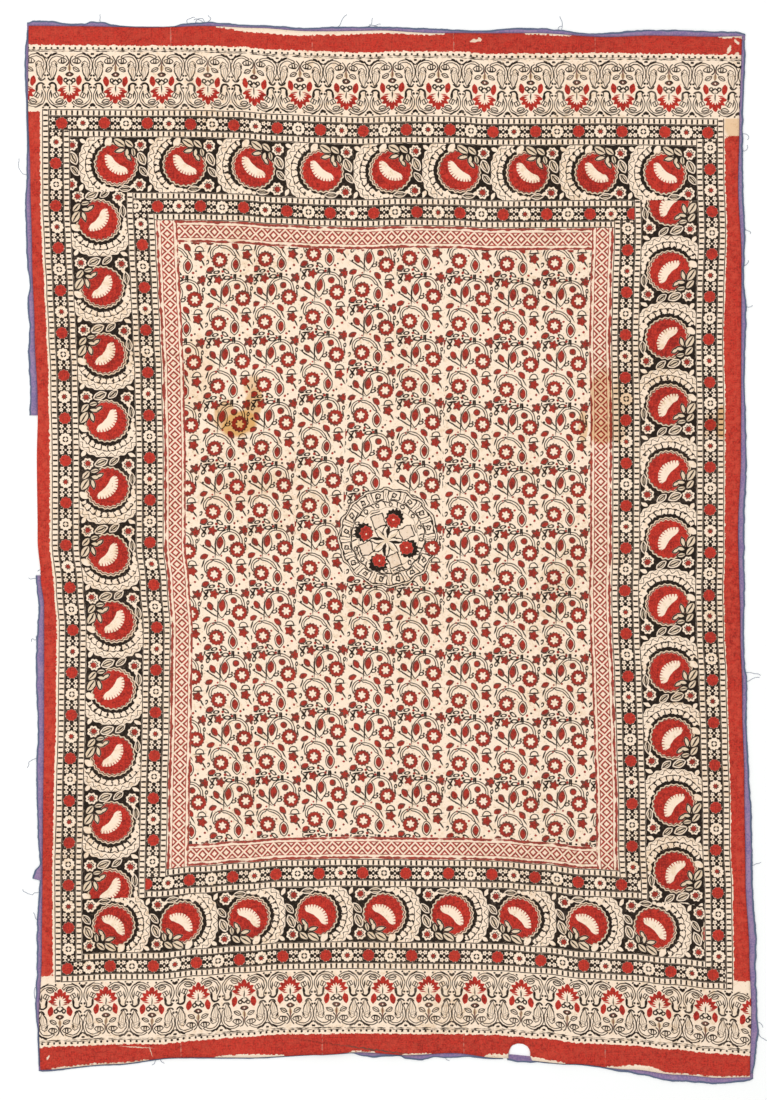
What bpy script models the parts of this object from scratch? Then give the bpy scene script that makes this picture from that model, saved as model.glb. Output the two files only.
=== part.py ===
"""A block printed cotton cloth with the remains of a narrow binding, lying flat.

The frame has +Z up, its origin under the middle of the cloth on the surface that it lies on,
and +Y towards the end of the cloth where the binding is whole. Sizes are in millimetres.
"""

import math
from collections import namedtuple

import bmesh
import bpy

MM = 0.001

SHEET = 1.2  # thickness of the cotton
GAP = 0.3  # between pieces that lie on each other
HALF_WIDTH = 495.0  # of the cloth's nominal rectangle
HALF_LENGTH = 728.0

TUCK = 5.0  # how far the binding runs in under the cloth
ROLL = 2.1  # height of the binding's folded outer edge
LIFT = SHEET + GAP  # the cloth's edge rides over the binding by this much
LIFT_FULL = 7.5  # distance from the edge at which the cloth is fully lifted
LIFT_START = 18.0  # and where it starts to rise from the floor
LIFT_FADE = 30.0  # along the edge, past the end of a strip of binding

GRID_STEP = 34.0  # spacing of the sheet's grid away from its edges
EDGE_LINES = (0.0, LIFT_FULL, LIFT_START)  # grid lines that follow each edge

# How far an edge of the cloth lies outside its nominal line, at a place along that line.
# Sides are read left to right (x) and bottom to top (y).
Bow = namedtuple("Bow", "at out")
EDGES = {
    "left": (
        Bow(-728, -3.6), Bow(-660, -2.2), Bow(-560, -6.0), Bow(-400, -7.4), Bow(-230, -9.2),
        Bow(-75, -9.2), Bow(-35, -4.4), Bow(20, 0.2), Bow(130, 1.4), Bow(205, -0.4),
        Bow(310, 4.1), Bow(415, 7.6), Bow(520, 10.0), Bow(630, 13.2), Bow(728, 12.6),
    ),
    "right": (
        Bow(-728, 6.4), Bow(-640, 8.0), Bow(-560, 5.2), Bow(-460, 0.0), Bow(-320, -1.8),
        Bow(-215, -4.6), Bow(-110, -7.2), Bow(30, -10.6), Bow(135, -6.4), Bow(415, -5.8),
        Bow(515, -10.4), Bow(600, -8.6), Bow(728, -5.0),
    ),
    "bottom": (
        Bow(-495, -4.2), Bow(-390, -12.4), Bow(-300, -22.0), Bow(-200, -21.6), Bow(-100, -26.4),
        Bow(-45, -30.0), Bow(25, -25.6), Bow(85, -28.0), Bow(150, -21.0), Bow(250, -13.2),
        Bow(335, -5.0), Bow(400, 2.4), Bow(460, 6.8), Bow(495, 6.0),
    ),
    "top": (
        Bow(-495, 8.6), Bow(-440, 8.0), Bow(-330, 6.0), Bow(-260, 8.4), Bow(-190, 5.6),
        Bow(-110, 0.6), Bow(-15, 1.6), Bow(70, -2.0), Bow(200, -1.6), Bow(300, -7.4),
        Bow(360, -5.0), Bow(450, -6.6), Bow(495, -6.0),
    ),
}

# The binding is torn into strips. Each follows one side from start to end, and shows
# outside the cloth by the width given at a place along it.
Width = namedtuple("Width", "at shows")
Strip = namedtuple("Strip", "side start end widths")
STRIPS = {
    "binding_top": Strip("top", -510.0, 496.0, (
        Width(-510, 5.0), Width(-500, 8.0), Width(-478, 7.6), Width(-450, 4.2), Width(-428, 4.4),
        Width(-420, 7.4), Width(-404, 7.2), Width(-392, 4.0), Width(-370, 2.0), Width(-306, 1.8),
        Width(-292, 4.8), Width(-258, 6.0), Width(-190, 4.6), Width(-120, 5.4), Width(-80, 7.0),
        Width(-15, 6.2), Width(60, 7.2), Width(125, 4.4), Width(180, 8.0), Width(235, 7.0),
        Width(268, 5.0), Width(330, 8.2), Width(405, 9.0), Width(480, 7.4), Width(496, 4.0),
    )),
    "binding_left_upper": Strip("left", 192.0, 724.0, (
        Width(192, 12.0), Width(240, 10.6), Width(278, 10.6), Width(310, 7.8), Width(345, 9.6),
        Width(378, 5.0), Width(415, 8.4), Width(486, 8.6), Width(522, 6.0), Width(590, 3.4),
        Width(626, 3.2), Width(665, 5.2), Width(694, 5.8), Width(724, 3.0),
    )),
    "binding_left_lower": Strip("left", -717.0, -32.0, (
        Width(-717, 2.6), Width(-670, 3.0), Width(-634, 6.4), Width(-600, 7.0), Width(-530, 7.8),
        Width(-458, 5.0), Width(-457, 15.0), Width(-447, 11.6), Width(-436, 5.0), Width(-390, 7.8),
        Width(-320, 10.4), Width(-286, 10.6), Width(-250, 9.2), Width(-180, 11.8),
        Width(-145, 12.0), Width(-75, 8.4), Width(-44, 7.8), Width(-32, 6.6),
    )),
    "binding_right": Strip("right", -716.0, 711.0, (
        Width(-716, 6.6), Width(-690, 9.2), Width(-672, 11.6), Width(-650, 9.0), Width(-600, 9.0),
        Width(-530, 11.4), Width(-460, 10.6), Width(-355, 10.4), Width(-320, 7.6),
        Width(-250, 6.4), Width(-180, 7.8), Width(-145, 5.6), Width(-108, 5.8), Width(-40, 8.4),
        Width(30, 9.8), Width(100, 9.2), Width(170, 7.8), Width(240, 5.6), Width(345, 7.8),
        Width(380, 4.2), Width(415, 5.0), Width(450, 7.4), Width(486, 8.0), Width(520, 7.6),
        Width(590, 5.6), Width(660, 5.8), Width(695, 6.0), Width(711, 4.4),
    )),
    "binding_bottom_left": Strip("bottom", -490.0, 156.0, (
        Width(-490, 3.0), Width(-440, 2.2), Width(-100, 2.0), Width(-56, 2.6), Width(-40, 6.8),
        Width(-28, 8.4), Width(-14, 5.8), Width(12, 3.0), Width(20, 6.4), Width(42, 8.8),
        Width(60, 5.6), Width(84, 7.6), Width(112, 3.8), Width(156, 1.8),
    )),
    "binding_bottom_right": Strip("bottom", 162.0, 505.0, (
        Width(162, 3.4), Width(176, 4.6), Width(193, 4.2), Width(205, 2.0), Width(290, 2.2),
        Width(322, 4.4), Width(352, 7.6), Width(392, 10.2), Width(450, 9.4), Width(492, 7.0),
        Width(505, 3.6),
    )),
}
STRIP_STEP = 44.0  # spacing of the stations along a strip of binding
STATION_MERGE = 0.6  # stations closer than this are one

# Soft creases that stay in the cloth: ridges along a line, with their height and half width.
Fold = namedtuple("Fold", "x0 y0 x1 y1 height half")
FOLDS = (
    Fold(-10, -735, -10, -330, 2.0, 38),  # lengthwise middle, from folding
    Fold(-10, 160, -8, 735, 1.8, 38),
    Fold(-500, 2, -150, 2, 1.6, 42),  # crosswise middle
    Fold(150, 4, 500, 0, 1.6, 42),
    Fold(-120, -690, 22, -706, 4.0, 36),  # pleat at the lower edge
    Fold(-306, 560, -306, 740, 2.2, 36),  # puckers that run in from the edges
    Fold(-108, 600, -108, 740, 2.0, 36),
    Fold(88, 590, 88, 740, 2.4, 38),
    Fold(290, 610, 286, 740, 2.6, 38),
    Fold(-500, -438, -400, -442, 2.4, 36),
    Fold(400, -178, 500, -180, 2.4, 36),
    Fold(-500, 200, -420, 190, 2.0, 36),
    Fold(-300, -740, -292, -620, 2.0, 38),
    Fold(240, -740, 250, -640, 2.6, 38),
    Fold(300, -300, 430, -470, 1.6, 44),  # slack in the lower right
)

# A piece worn out of the lower edge. The binding crosses its mouth.
BITE_X = 178.6
BITE_Y = -705.6
BITE_HALF_WIDTH = 15.4
BITE_HEIGHT = 18.4
BITE_TURN = math.radians(-6)
BITE_SIDES = 28

COTTON = ("printed_cotton", (0.74, 0.55, 0.42), 0.9)
VIOLET = ("binding_cotton", (0.25, 0.19, 0.38), 0.88)


def clear_scene():
    """Removes every object, so that the file can be run again."""
    for thing in list(bpy.data.objects):
        bpy.data.objects.remove(thing)


def make_material(name, colour, roughness):
    """A plain cloth finish."""
    material = bpy.data.materials.new(name)
    material.use_nodes = True
    shader = material.node_tree.nodes["Principled BSDF"]
    shader.inputs["Base Color"].default_value = (*colour, 1.0)
    shader.inputs["Roughness"].default_value = roughness
    shader.inputs["Metallic"].default_value = 0.0
    return material


def smooth(share):
    """An even rise from 0 to 1."""
    share = min(1.0, max(0.0, share))
    return share * share * (3 - 2 * share)


def read_table(rows, at):
    """The second column at a place in the first, eased between the rows."""
    if at <= rows[0][0]:
        return rows[0][1]
    for low, high in zip(rows, rows[1:]):
        if at <= high[0]:
            share = (at - low[0]) / (high[0] - low[0])
            return low[1] + (high[1] - low[1]) * smooth(share)
    return rows[-1][1]


def edge_line(side, at):
    """The cloth's edge on that side: its x on the left and right, its y on top and bottom."""
    half = HALF_WIDTH if side in ("left", "right") else HALF_LENGTH
    sign = 1 if side in ("right", "top") else -1
    return sign * (half + read_table(EDGES[side], at))


def to_cloth(across, along):
    """A place on the nominal rectangle, moved with the real edges of the cloth."""
    share_x = (across + HALF_WIDTH) / (2 * HALF_WIDTH)
    share_y = (along + HALF_LENGTH) / (2 * HALF_LENGTH)
    x = edge_line("left", along) * (1 - share_x) + edge_line("right", along) * share_x
    y = edge_line("bottom", across) * (1 - share_y) + edge_line("top", across) * share_y
    return x, y


def fold_height(x, y):
    """Height of the creases at a place. The highest one wins where two cross."""
    highest = 0.0
    for fold in FOLDS:
        run_x, run_y = fold.x1 - fold.x0, fold.y1 - fold.y0
        share = ((x - fold.x0) * run_x + (y - fold.y0) * run_y) / (run_x**2 + run_y**2)
        share = min(1.0, max(0.0, share))
        away = math.hypot(x - fold.x0 - share * run_x, y - fold.y0 - share * run_y)
        highest = max(highest, fold.height * (1 - smooth(away / fold.half)))
    return highest


def bound(side, at):
    """1 where the side carries binding, falling to 0 past the ends of its strips."""
    best = 0.0
    for strip in STRIPS.values():
        if strip.side == side:
            past = max(strip.start - at, at - strip.end, 0.0)
            best = max(best, 1 - smooth((past - GAP - TUCK) / LIFT_FADE))
    return best


def edge_lift(across, along):
    """How far the binding below raises the cloth near its edges."""
    distances = {
        "left": (across + HALF_WIDTH, along),
        "right": (HALF_WIDTH - across, along),
        "bottom": (along + HALF_LENGTH, across),
        "top": (HALF_LENGTH - along, across),
    }
    lift = 0.0
    for side, (distance, at) in distances.items():
        rise = 1 - smooth((distance - LIFT_FULL) / (LIFT_START - LIFT_FULL))
        lift = max(lift, LIFT * rise * bound(side, at))
    return lift


def grid_lines(half):
    """Positions of the sheet's grid lines across one direction, closer at both edges."""
    inner = half - EDGE_LINES[-1]
    count = round(2 * inner / GRID_STEP)
    middle = [-inner + 2 * inner * i / count for i in range(1, count)]
    return [line - half for line in EDGE_LINES] + middle + [half - line for line in EDGE_LINES[::-1]]


def finish_mesh(name, mesh_builder, material, sharp_degrees=40):
    """Turns a bmesh into an object that stands in the scene with its material."""
    bmesh.ops.recalc_face_normals(mesh_builder, faces=mesh_builder.faces)
    mesh = bpy.data.meshes.new(name)
    mesh_builder.to_mesh(mesh)
    mesh_builder.free()
    mesh.shade_smooth()
    mesh.set_sharp_from_angle(angle=math.radians(sharp_degrees))
    mesh.materials.append(material)
    piece = bpy.data.objects.new(name, mesh)
    bpy.context.scene.collection.objects.link(piece)
    return piece


def make_bite():
    """The cutter for the worn bite: an upright rounded prism."""
    cutter = bmesh.new()
    ring = []
    for i in range(BITE_SIDES):
        turn = 2 * math.pi * i / BITE_SIDES
        wide = BITE_HALF_WIDTH * math.copysign(abs(math.cos(turn)) ** 0.8, math.cos(turn))
        tall = BITE_HEIGHT * math.copysign(abs(math.sin(turn)) ** 0.8, math.sin(turn))
        x = BITE_X + wide * math.cos(BITE_TURN) - tall * math.sin(BITE_TURN)
        y = BITE_Y + wide * math.sin(BITE_TURN) + tall * math.cos(BITE_TURN)
        ring.append(cutter.verts.new((x * MM, y * MM, -0.01)))
    base = cutter.faces.new(ring)
    raised = bmesh.ops.extrude_face_region(cutter, geom=[base])["geom"]
    top = [part for part in raised if isinstance(part, bmesh.types.BMVert)]
    bmesh.ops.translate(cutter, verts=top, vec=(0, 0, 0.03))
    piece = finish_mesh("bite_cutter", cutter, None)
    piece.hide_render = True
    piece.display_type = "WIRE"
    return piece


def make_cloth(material):
    """The printed sheet: a grid moved to the cloth's outline and creases, then thickened."""
    across_lines = grid_lines(HALF_WIDTH)
    along_lines = grid_lines(HALF_LENGTH)
    sheet = bmesh.new()
    bmesh.ops.create_grid(
        sheet, x_segments=len(across_lines) - 1, y_segments=len(along_lines) - 1, size=1.0
    )
    for vert in sheet.verts:
        column = round((vert.co.x + 1) / 2 * (len(across_lines) - 1))
        row = round((vert.co.y + 1) / 2 * (len(along_lines) - 1))
        across, along = across_lines[column], along_lines[row]
        x, y = to_cloth(across, along)
        z = max(edge_lift(across, along), 0.0) + fold_height(x, y)
        vert.co = (x * MM, y * MM, z * MM)
    piece = finish_mesh("printed_cloth", sheet, material)
    thicken = piece.modifiers.new("thickness", "SOLIDIFY")
    thicken.thickness = SHEET * MM
    thicken.offset = 1.0
    thicken.use_even_offset = True
    cut = piece.modifiers.new("bite", "BOOLEAN")
    cut.operation = "DIFFERENCE"
    cut.object = make_bite()
    return piece


def strip_section(side, at, shows):
    """A ring of points round the binding's section: flat under the cloth, rolled outside it."""
    roll_start = min(0.5 * shows, 0.9)
    shape = (
        (-TUCK, 0.0),
        (shows - 0.3, 0.0),
        (shows, ROLL / 2),
        (shows - 0.3, ROLL),
        (roll_start + 0.2, ROLL),
        (roll_start, SHEET),
        (-TUCK, SHEET),
    )
    sign = 1 if side in ("right", "top") else -1
    limit = HALF_LENGTH if side in ("left", "right") else HALF_WIDTH
    held = min(limit, max(-limit, at))
    ring = []
    for out, z in shape:
        line = edge_line(side, held) + sign * out
        x, y = (line, at) if side in ("left", "right") else (at, line)
        ring.append((x * MM, y * MM, z * MM))
    return ring


def make_strip(name, strip, material):
    """One strip of binding, lofted through its sections."""
    count = max(2, math.ceil((strip.end - strip.start) / STRIP_STEP))
    stations = {round(strip.start + (strip.end - strip.start) * i / count, 1) for i in range(count + 1)}
    stations |= {float(width.at) for width in strip.widths}
    ordered = sorted(stations)
    kept = [at for at, after in zip(ordered, ordered[1:]) if after - at > STATION_MERGE] + ordered[-1:]
    loft = bmesh.new()
    rings = [
        [loft.verts.new(point) for point in strip_section(strip.side, at, read_table(strip.widths, at))]
        for at in kept
    ]
    for first, second in zip(rings, rings[1:]):
        for i in range(len(first)):
            after = (i + 1) % len(first)
            loft.faces.new((first[i], first[after], second[after], second[i]))
    loft.faces.new(rings[0])
    loft.faces.new(rings[-1])
    return finish_mesh(name, loft, material)


def main():
    """Builds the cloth and its six strips of binding."""
    clear_scene()
    cotton = make_material(*COTTON)
    violet = make_material(*VIOLET)
    make_cloth(cotton)
    for name, strip in STRIPS.items():
        make_strip(name, strip, violet)


main()
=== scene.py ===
import math
from collections import namedtuple

import bmesh
import bpy
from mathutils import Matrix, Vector, noise
from mathutils.bvhtree import BVHTree


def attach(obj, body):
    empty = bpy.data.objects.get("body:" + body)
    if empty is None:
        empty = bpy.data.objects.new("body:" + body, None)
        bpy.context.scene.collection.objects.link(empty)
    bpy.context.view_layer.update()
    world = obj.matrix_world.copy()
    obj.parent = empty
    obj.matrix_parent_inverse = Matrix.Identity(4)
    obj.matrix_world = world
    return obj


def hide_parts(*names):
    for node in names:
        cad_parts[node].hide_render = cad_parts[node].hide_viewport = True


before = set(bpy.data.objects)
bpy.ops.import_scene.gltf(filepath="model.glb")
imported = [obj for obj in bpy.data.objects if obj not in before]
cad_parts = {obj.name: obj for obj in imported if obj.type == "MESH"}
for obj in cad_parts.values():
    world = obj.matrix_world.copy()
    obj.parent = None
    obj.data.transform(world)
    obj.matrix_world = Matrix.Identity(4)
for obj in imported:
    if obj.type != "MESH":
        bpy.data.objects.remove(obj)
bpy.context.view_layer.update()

mm = 0.001
step = 1.4  # mm; every block is charted in these steps, from its own middle, with y up
body = "root"

print("camera, floor and light")

view = {
    "middle": (-11.2, 3.5),  # mm, where the camera points
    "frameHeight": 1540.0,  # mm of floor in the height of the picture
    "lens": 70.0,
    "sensor": 36.0,
    "floorSize": 30.0,  # metres
    "floorColour": "FAFBFA",
    "skyStrength": 0.8,
    "lampSize": 2.6,  # metres
    "lampPower": 52.0,
    "lampPlace": (-1.3, 0.6, 3.4),
}


def toLinear(hexColour):
    channels = [int(hexColour[i : i + 2], 16) / 255 for i in (0, 2, 4)]
    linear = [c / 12.92 if c <= 0.04045 else ((c + 0.055) / 1.055) ** 2.4 for c in channels]
    return (*linear, 1.0)


def addNode(tree, kind, sockets=None, **settings):
    # adds a node with its settings, then links or fills its sockets
    node = tree.nodes.new("ShaderNode" + kind)
    for name, value in settings.items():
        setattr(node, name, value)
    for socket, source in (sockets or {}).items():
        if isinstance(source, bpy.types.NodeSocket):
            tree.links.new(source, node.inputs[socket])
        else:
            node.inputs[socket].default_value = source
    return node.outputs


def newMaterial(name):
    material = bpy.data.materials.new(name)
    material.use_nodes = True
    return material, material.node_tree, material.node_tree.nodes["Principled BSDF"]


def buildStudio():
    scene = bpy.context.scene
    scene.view_settings.view_transform = "Standard"
    cameraData = bpy.data.cameras.new("camera")
    cameraData.lens = view["lens"]
    cameraData.sensor_width = view["sensor"]
    camera = bpy.data.objects.new("camera", cameraData)
    height = view["frameHeight"] * mm * view["lens"] / view["sensor"]
    camera.location = (view["middle"][0] * mm, view["middle"][1] * mm, height)
    scene.collection.objects.link(camera)
    scene.camera = camera

    shape = bmesh.new()
    bmesh.ops.create_grid(shape, x_segments=1, y_segments=1, size=view["floorSize"] / 2)
    floorMesh = bpy.data.meshes.new("floor")
    shape.to_mesh(floorMesh)
    shape.free()
    material, _, shader = newMaterial("pale paper")
    shader.inputs["Base Color"].default_value = toLinear(view["floorColour"])
    shader.inputs["Roughness"].default_value = 0.95
    shader.inputs["Specular IOR Level"].default_value = 0.1
    floorMesh.materials.append(material)
    floor = bpy.data.objects.new("floor", floorMesh)
    scene.collection.objects.link(floor)

    world = bpy.data.worlds.new("studio")
    world.use_nodes = True
    background = world.node_tree.nodes["Background"]
    background.inputs["Color"].default_value = (1, 1, 1, 1)
    background.inputs["Strength"].default_value = view["skyStrength"]
    scene.world = world

    lampData = bpy.data.lights.new("softbox", "AREA")
    lampData.size = view["lampSize"]
    lampData.energy = view["lampPower"]
    lamp = bpy.data.objects.new("softbox", lampData)
    lamp.location = view["lampPlace"]
    lamp.rotation_euler = (-Vector(view["lampPlace"])).to_track_quat("-Z", "Y").to_euler()
    scene.collection.objects.link(lamp)


buildStudio()

print("lines of the cloth and of its print")

# The lines are tables of pairs: a place along the line, and how far outside its nominal place
# the line lies there, in mm.

cloth = {
    "halfWidth": 495.0,
    "halfLength": 728.0,
    "thickness": 0.9,
    "fineness": 2,  # mesh faces for each one in the tables
    "edges": {  # the cut edges
        "left": (
            (-728, -3.6), (-660, -2.2), (-560, -6.0), (-400, -7.4), (-230, -9.2), (-75, -9.2), (-35, -4.4),
            (20, 0.2), (130, 1.4), (205, -0.4), (310, 4.1), (415, 7.6), (520, 10.0), (630, 13.2),
            (728, 12.6),
        ),
        "right": (
            (-728, 6.4), (-640, 8.0), (-560, 5.2), (-460, 0.0), (-320, -1.8), (-215, -4.6), (-110, -7.2),
            (30, -10.6), (135, -6.4), (415, -5.8), (515, -10.4), (600, -8.6), (728, -5.0),
        ),
        "bottom": (
            (-495, -4.2), (-390, -12.4), (-300, -22.0), (-200, -21.6), (-100, -26.4), (-45, -30.0),
            (25, -25.6), (85, -28.0), (150, -21.0), (250, -13.2), (335, -5.0), (400, 2.4), (460, 6.8),
            (495, 6.0),
        ),
        "top": (
            (-495, 8.6), (-440, 8.0), (-330, 6.0), (-260, 8.4), (-190, 5.6), (-110, 0.6), (-15, 1.6),
            (70, -2.0), (200, -1.6), (300, -7.4), (360, -5.0), (450, -6.6), (495, -6.0),
        ),
    },
    "guardHalf": {"left": 457.0, "right": 447.0, "bottom": 570.5, "top": 592.2},
    "guards": {  # the middle line of the outer guard border, as the printer laid it
        "left": (
            (-584, -5.3), (-461, -4.6), (-346, -6.7), (-227, -9.5), (-107, -10.9), (-47, -6.7), (12, -1.1),
            (130, -1.1), (248, 1.0), (310, 3.8), (369, 6.6), (425, 9.4), (485, 12.2), (601, 12.6),
        ),
        "right": (
            (-592, 11.5), (-473, 10.1), (-411, 7.3), (-353, 7.3), (-264, 4.5), (-174, 1.7), (-114, -1.1),
            (-54, -2.5), (3, -1.1), (183, -0.6), (302, -2.5), (359, -1.1), (448, 1.7), (538, -1.1),
            (600, -1.1),
        ),
        "bottom": (
            (-495, 12.5), (-453, 11.2), (-391, 8.4), (-330, 8.4), (-269, 2.8), (-211, -1.4), (-150, -5.6),
            (-60, -7.0), (89, -5.6), (149, -4.2), (209, 0.0), (271, 7.0), (332, 9.8), (391, 15.4),
            (451, 21.0), (495, 23.8),
        ),
        "top": (
            (-495, 8.8), (-281, 7.7), (-220, 6.3), (-160, 2.1), (-100, -0.7), (-40, -2.1), (22, 0.0),
            (82, -0.7), (139, -3.5), (320, -2.8), (437, -4.2), (495, -4.9),
        ),
    },
    "bite": (178.6, -705.6, 15.4, 18.4, -6.0),  # mm: middle, half sizes; then its turn in degrees
}

# The borders are rings inside each other. Each ends, going inwards, so many steps from the
# middle line of the outer guard, and has a number of rows of mesh faces across it.
Ring = namedtuple("Ring", "name side end faces")
ringStart = -14.0
rings = (
    Ring("outerLadder", -6.8, -6.8, 1),
    Ring("outerFlowers", 6.8, 6.8, 2),
    Ring("guardLadder", 14.0, 14.0, 1),
    Ring("mainBorder", 70.0, 68.5, 6),
    Ring("mainLadder", 77.2, 75.7, 1),
    Ring("innerFlowers", 90.8, 89.3, 2),
    Ring("innerLadder", 98.0, 96.5, 1),
    Ring("diamonds", 120.0, 118.5, 2),
)
upright = ("outerLadder", "guardLadder", "mainLadder", "innerLadder", "diamonds")  # these run through
fieldRing = len(rings)  # at the corners; the others stop there

# The field is printed in upright columns, one block wide, each laid a little apart.
field = {
    "rosettes": (-196.5, -148.5, -102.5, -54.5, -5.5, 42.0, 91.5, 139.0, 187.0),  # steps across
    "top": 255.5,  # steps up to the first row of rosettes
    "pitch": 62.8,  # steps between the rows
    "width": 47.9,  # the block in its chart's steps
    "height": 63.2,
    "left": -37.5,  # the block's window from its upper rosette
    "bottom": -38.7,
    "sway": (  # mm to the right, at a place up the first column
        (-400, 5.4), (-349, 4.2), (-261, 1.4), (-173, -1.4), (-83, -4.9), (5, -8.4), (92, -9.1),
        (180, -4.9), (270, -1.4), (358, 0.0), (420, 1.4),
    ),
    "drops": (2.8, 1.4, 0.0, -4.9, -3.7, -0.5, 2.0, 5.0, 4.2),  # steps that each column lies low
    "slipped": (4, 66.0, 34.5),  # a column, the height in mm above which it slipped, and the steps
}

# Where a motif stands along each side, in steps from the cloth's middle, and the pitch.
Run = namedtuple("Run", "start pitch")
runs = {
    "outerGuard": {
        "top": Run(-308.5, 86.2), "right": Run(362.0, 85.12),
        "bottom": Run(-302.5, 86.1), "left": Run(325.5, 84.94),
    },
    "innerGuard": {
        "top": Run(-212.5, 86.4), "right": Run(281.2, 85.14),
        "bottom": Run(-223.4, 86.4), "left": Run(328.5, 85.0),
    },
    "mainBorder": {
        "top": Run(-275.4, 68.6), "right": Run(280.8, 66.65),
        "bottom": Run(-277.8, 67.66), "left": Run(332.2, 66.9),
    },
    "diamonds": {side: Run(0.0, 11.8) for side in ("top", "right", "bottom", "left")},
    "ends": {"top": Run(-321.9, 46.1), "bottom": Run(-331.5, 46.09)},
}
pitches = {"outerGuard": 86.4, "innerGuard": 86.4, "mainBorder": 68.0, "diamonds": 11.8, "ends": 46.1}
clockwise = {"top": 1, "right": -1, "bottom": -1, "left": 1}
guardRings = ("outerLadder", "outerFlowers", "guardLadder")
innerRings = ("mainLadder", "innerFlowers", "innerLadder")

# The plain red outside the prints, in steps outwards from the guard's middle line.
redBand = {
    "endStart": 78.0,
    "sideStart": {"left": 16.0, "right": 14.8},
    "gaps": {  # cream left between it and the cut edge, at a place along the end; all in steps
        "top": (
            (-353, -6), (-184, -6), (-174, 1.0), (-135, 4.6), (-112, 5.2), (-60, 3.5), (-20, 2.8),
            (30, 2.0), (52, 1.0), (62, -6), (124, -6), (134, 1.2), (178, 1.2), (188, -6), (320, -6),
            (328, 1.2), (353, 1.5),
        ),
        "bottom": (
            (-345, -6), (-338, 1.2), (-245, 1.0), (-236, -6), (-184, -6), (-174, 1.5), (-140, 3.2),
            (-108, 1.5), (-100, -6), (-50, -6), (-44, 1.0), (-16, 1.0), (-10, -6), (4, -6), (12, 1.0),
            (38, 1.0), (46, -6), (88, -6), (96, 3.4), (114, 4.0), (137, 4.0), (172, 1.5), (180, -6),
            (206, -6), (216, 1.5), (250, 5.0), (264, 4.5), (272, 1.2), (353, 1.2),
        ),
    },
    "cornerTop": {"left": 11.5, "right": -3.5},  # steps past the end guards where the side's red stops
    "cornerBottom": {"left": 7.0, "right": 4.0},
}


def smooth(share):
    share = min(1.0, max(0.0, share))
    return share * share * (3 - 2 * share)


def readLine(pairs, at):
    # the height of a table's line at a place along it
    if at <= pairs[0][0]:
        return pairs[0][1]
    for (low, lowOut), (high, highOut) in zip(pairs, pairs[1:]):
        if at <= high:
            return lowOut + (highOut - lowOut) * smooth((at - low) / (high - low))
    return pairs[-1][1]


def isSide(side):
    return side in ("left", "right")


def outwards(side):
    return 1 if side in ("right", "top") else -1


def edgeLine(side, at):
    half = cloth["halfWidth"] if isSide(side) else cloth["halfLength"]
    return outwards(side) * (half + readLine(cloth["edges"][side], at))


def guardLine(side, at, inward=0.0):
    out = cloth["guardHalf"][side] + readLine(cloth["guards"][side], at)
    return outwards(side) * (out - inward * step)


def fieldRosette(column, at):
    # the line of a column's rosettes; the first columns sway most
    share = max(0.12, 1.1 - 0.17 * column)
    return field["rosettes"][column] * step + share * readLine(field["sway"], at)


def fieldJoint(column, at):
    return fieldRosette(column - 1, at) + (field["width"] + field["left"]) * step


# A line of the sheet's mesh, at a share of the way between two lines of the print. The faces
# past it belong to a band: -1 outside the rings, then each ring, then the field.
MeshLine = namedtuple("MeshLine", "low high share band")


def bandStops(side):
    limits = [ringStart] + [ring.side if isSide(side) else ring.end for ring in rings]
    stops = [lambda at: edgeLine(side, at)]
    stops += [lambda at, inward=inward: guardLine(side, at, inward) for inward in limits]
    gaps = [(-1, 3 if isSide(side) else 10)]
    gaps += [(number, ring.faces) for number, ring in enumerate(rings)]
    return stops, gaps


def meshLines(first, middleStops, middleGaps, last):
    firstStops, firstGaps = bandStops(first)
    lastStops, lastGaps = bandStops(last)
    stops = firstStops + middleStops + lastStops[::-1]
    gaps = firstGaps + middleGaps + lastGaps[::-1]
    lines = []
    for low, high, (band, faces) in zip(stops, stops[1:], gaps):
        count = faces * cloth["fineness"]
        lines += [MeshLine(low, high, i / count, band) for i in range(count)]
    return lines + [MeshLine(stops[-1], stops[-1], 0.0, None)]


columns = range(len(field["rosettes"]))
joints = [lambda at, column=column: fieldJoint(column, at) for column in columns[1:]]
jointGaps = [(fieldRing + column, 5 if column else 2) for column in columns]
columnLines = meshLines("left", joints, jointGaps, "right")
rowLines = meshLines("bottom", [], [(fieldRing, 62)], "top")


def placeOf(line, at):
    low = line.low(at)
    return low + (line.high(at) - low) * line.share


def latticePoint(column, row):
    x, y = 0.0, placeOf(rowLines[row], 0.0)
    for _ in range(3):
        x = placeOf(columnLines[column], y)
        y = placeOf(rowLines[row], x)
    return x, y


def printAt(column, row):
    # which print a mesh face carries, and the side or field column that it follows
    across, along = columnLines[column].band, rowLines[row].band
    side = "left" if column < len(columnLines) / 2 else "right"
    end = "bottom" if row < len(rowLines) / 2 else "top"
    if along == -1:
        return "ends", end
    if across == -1:
        return "selvedge", side
    if across >= fieldRing and along >= fieldRing:
        return "field", across - fieldRing
    ring = rings[min(across, along)].name
    if across < along or (across == along and ring in upright):
        return ring, side
    return ring, end


def inwardSteps(side, x, y):
    at, place = (y, x) if isSide(side) else (x, y)
    return outwards(side) * (guardLine(side, at) - place) / step


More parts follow.
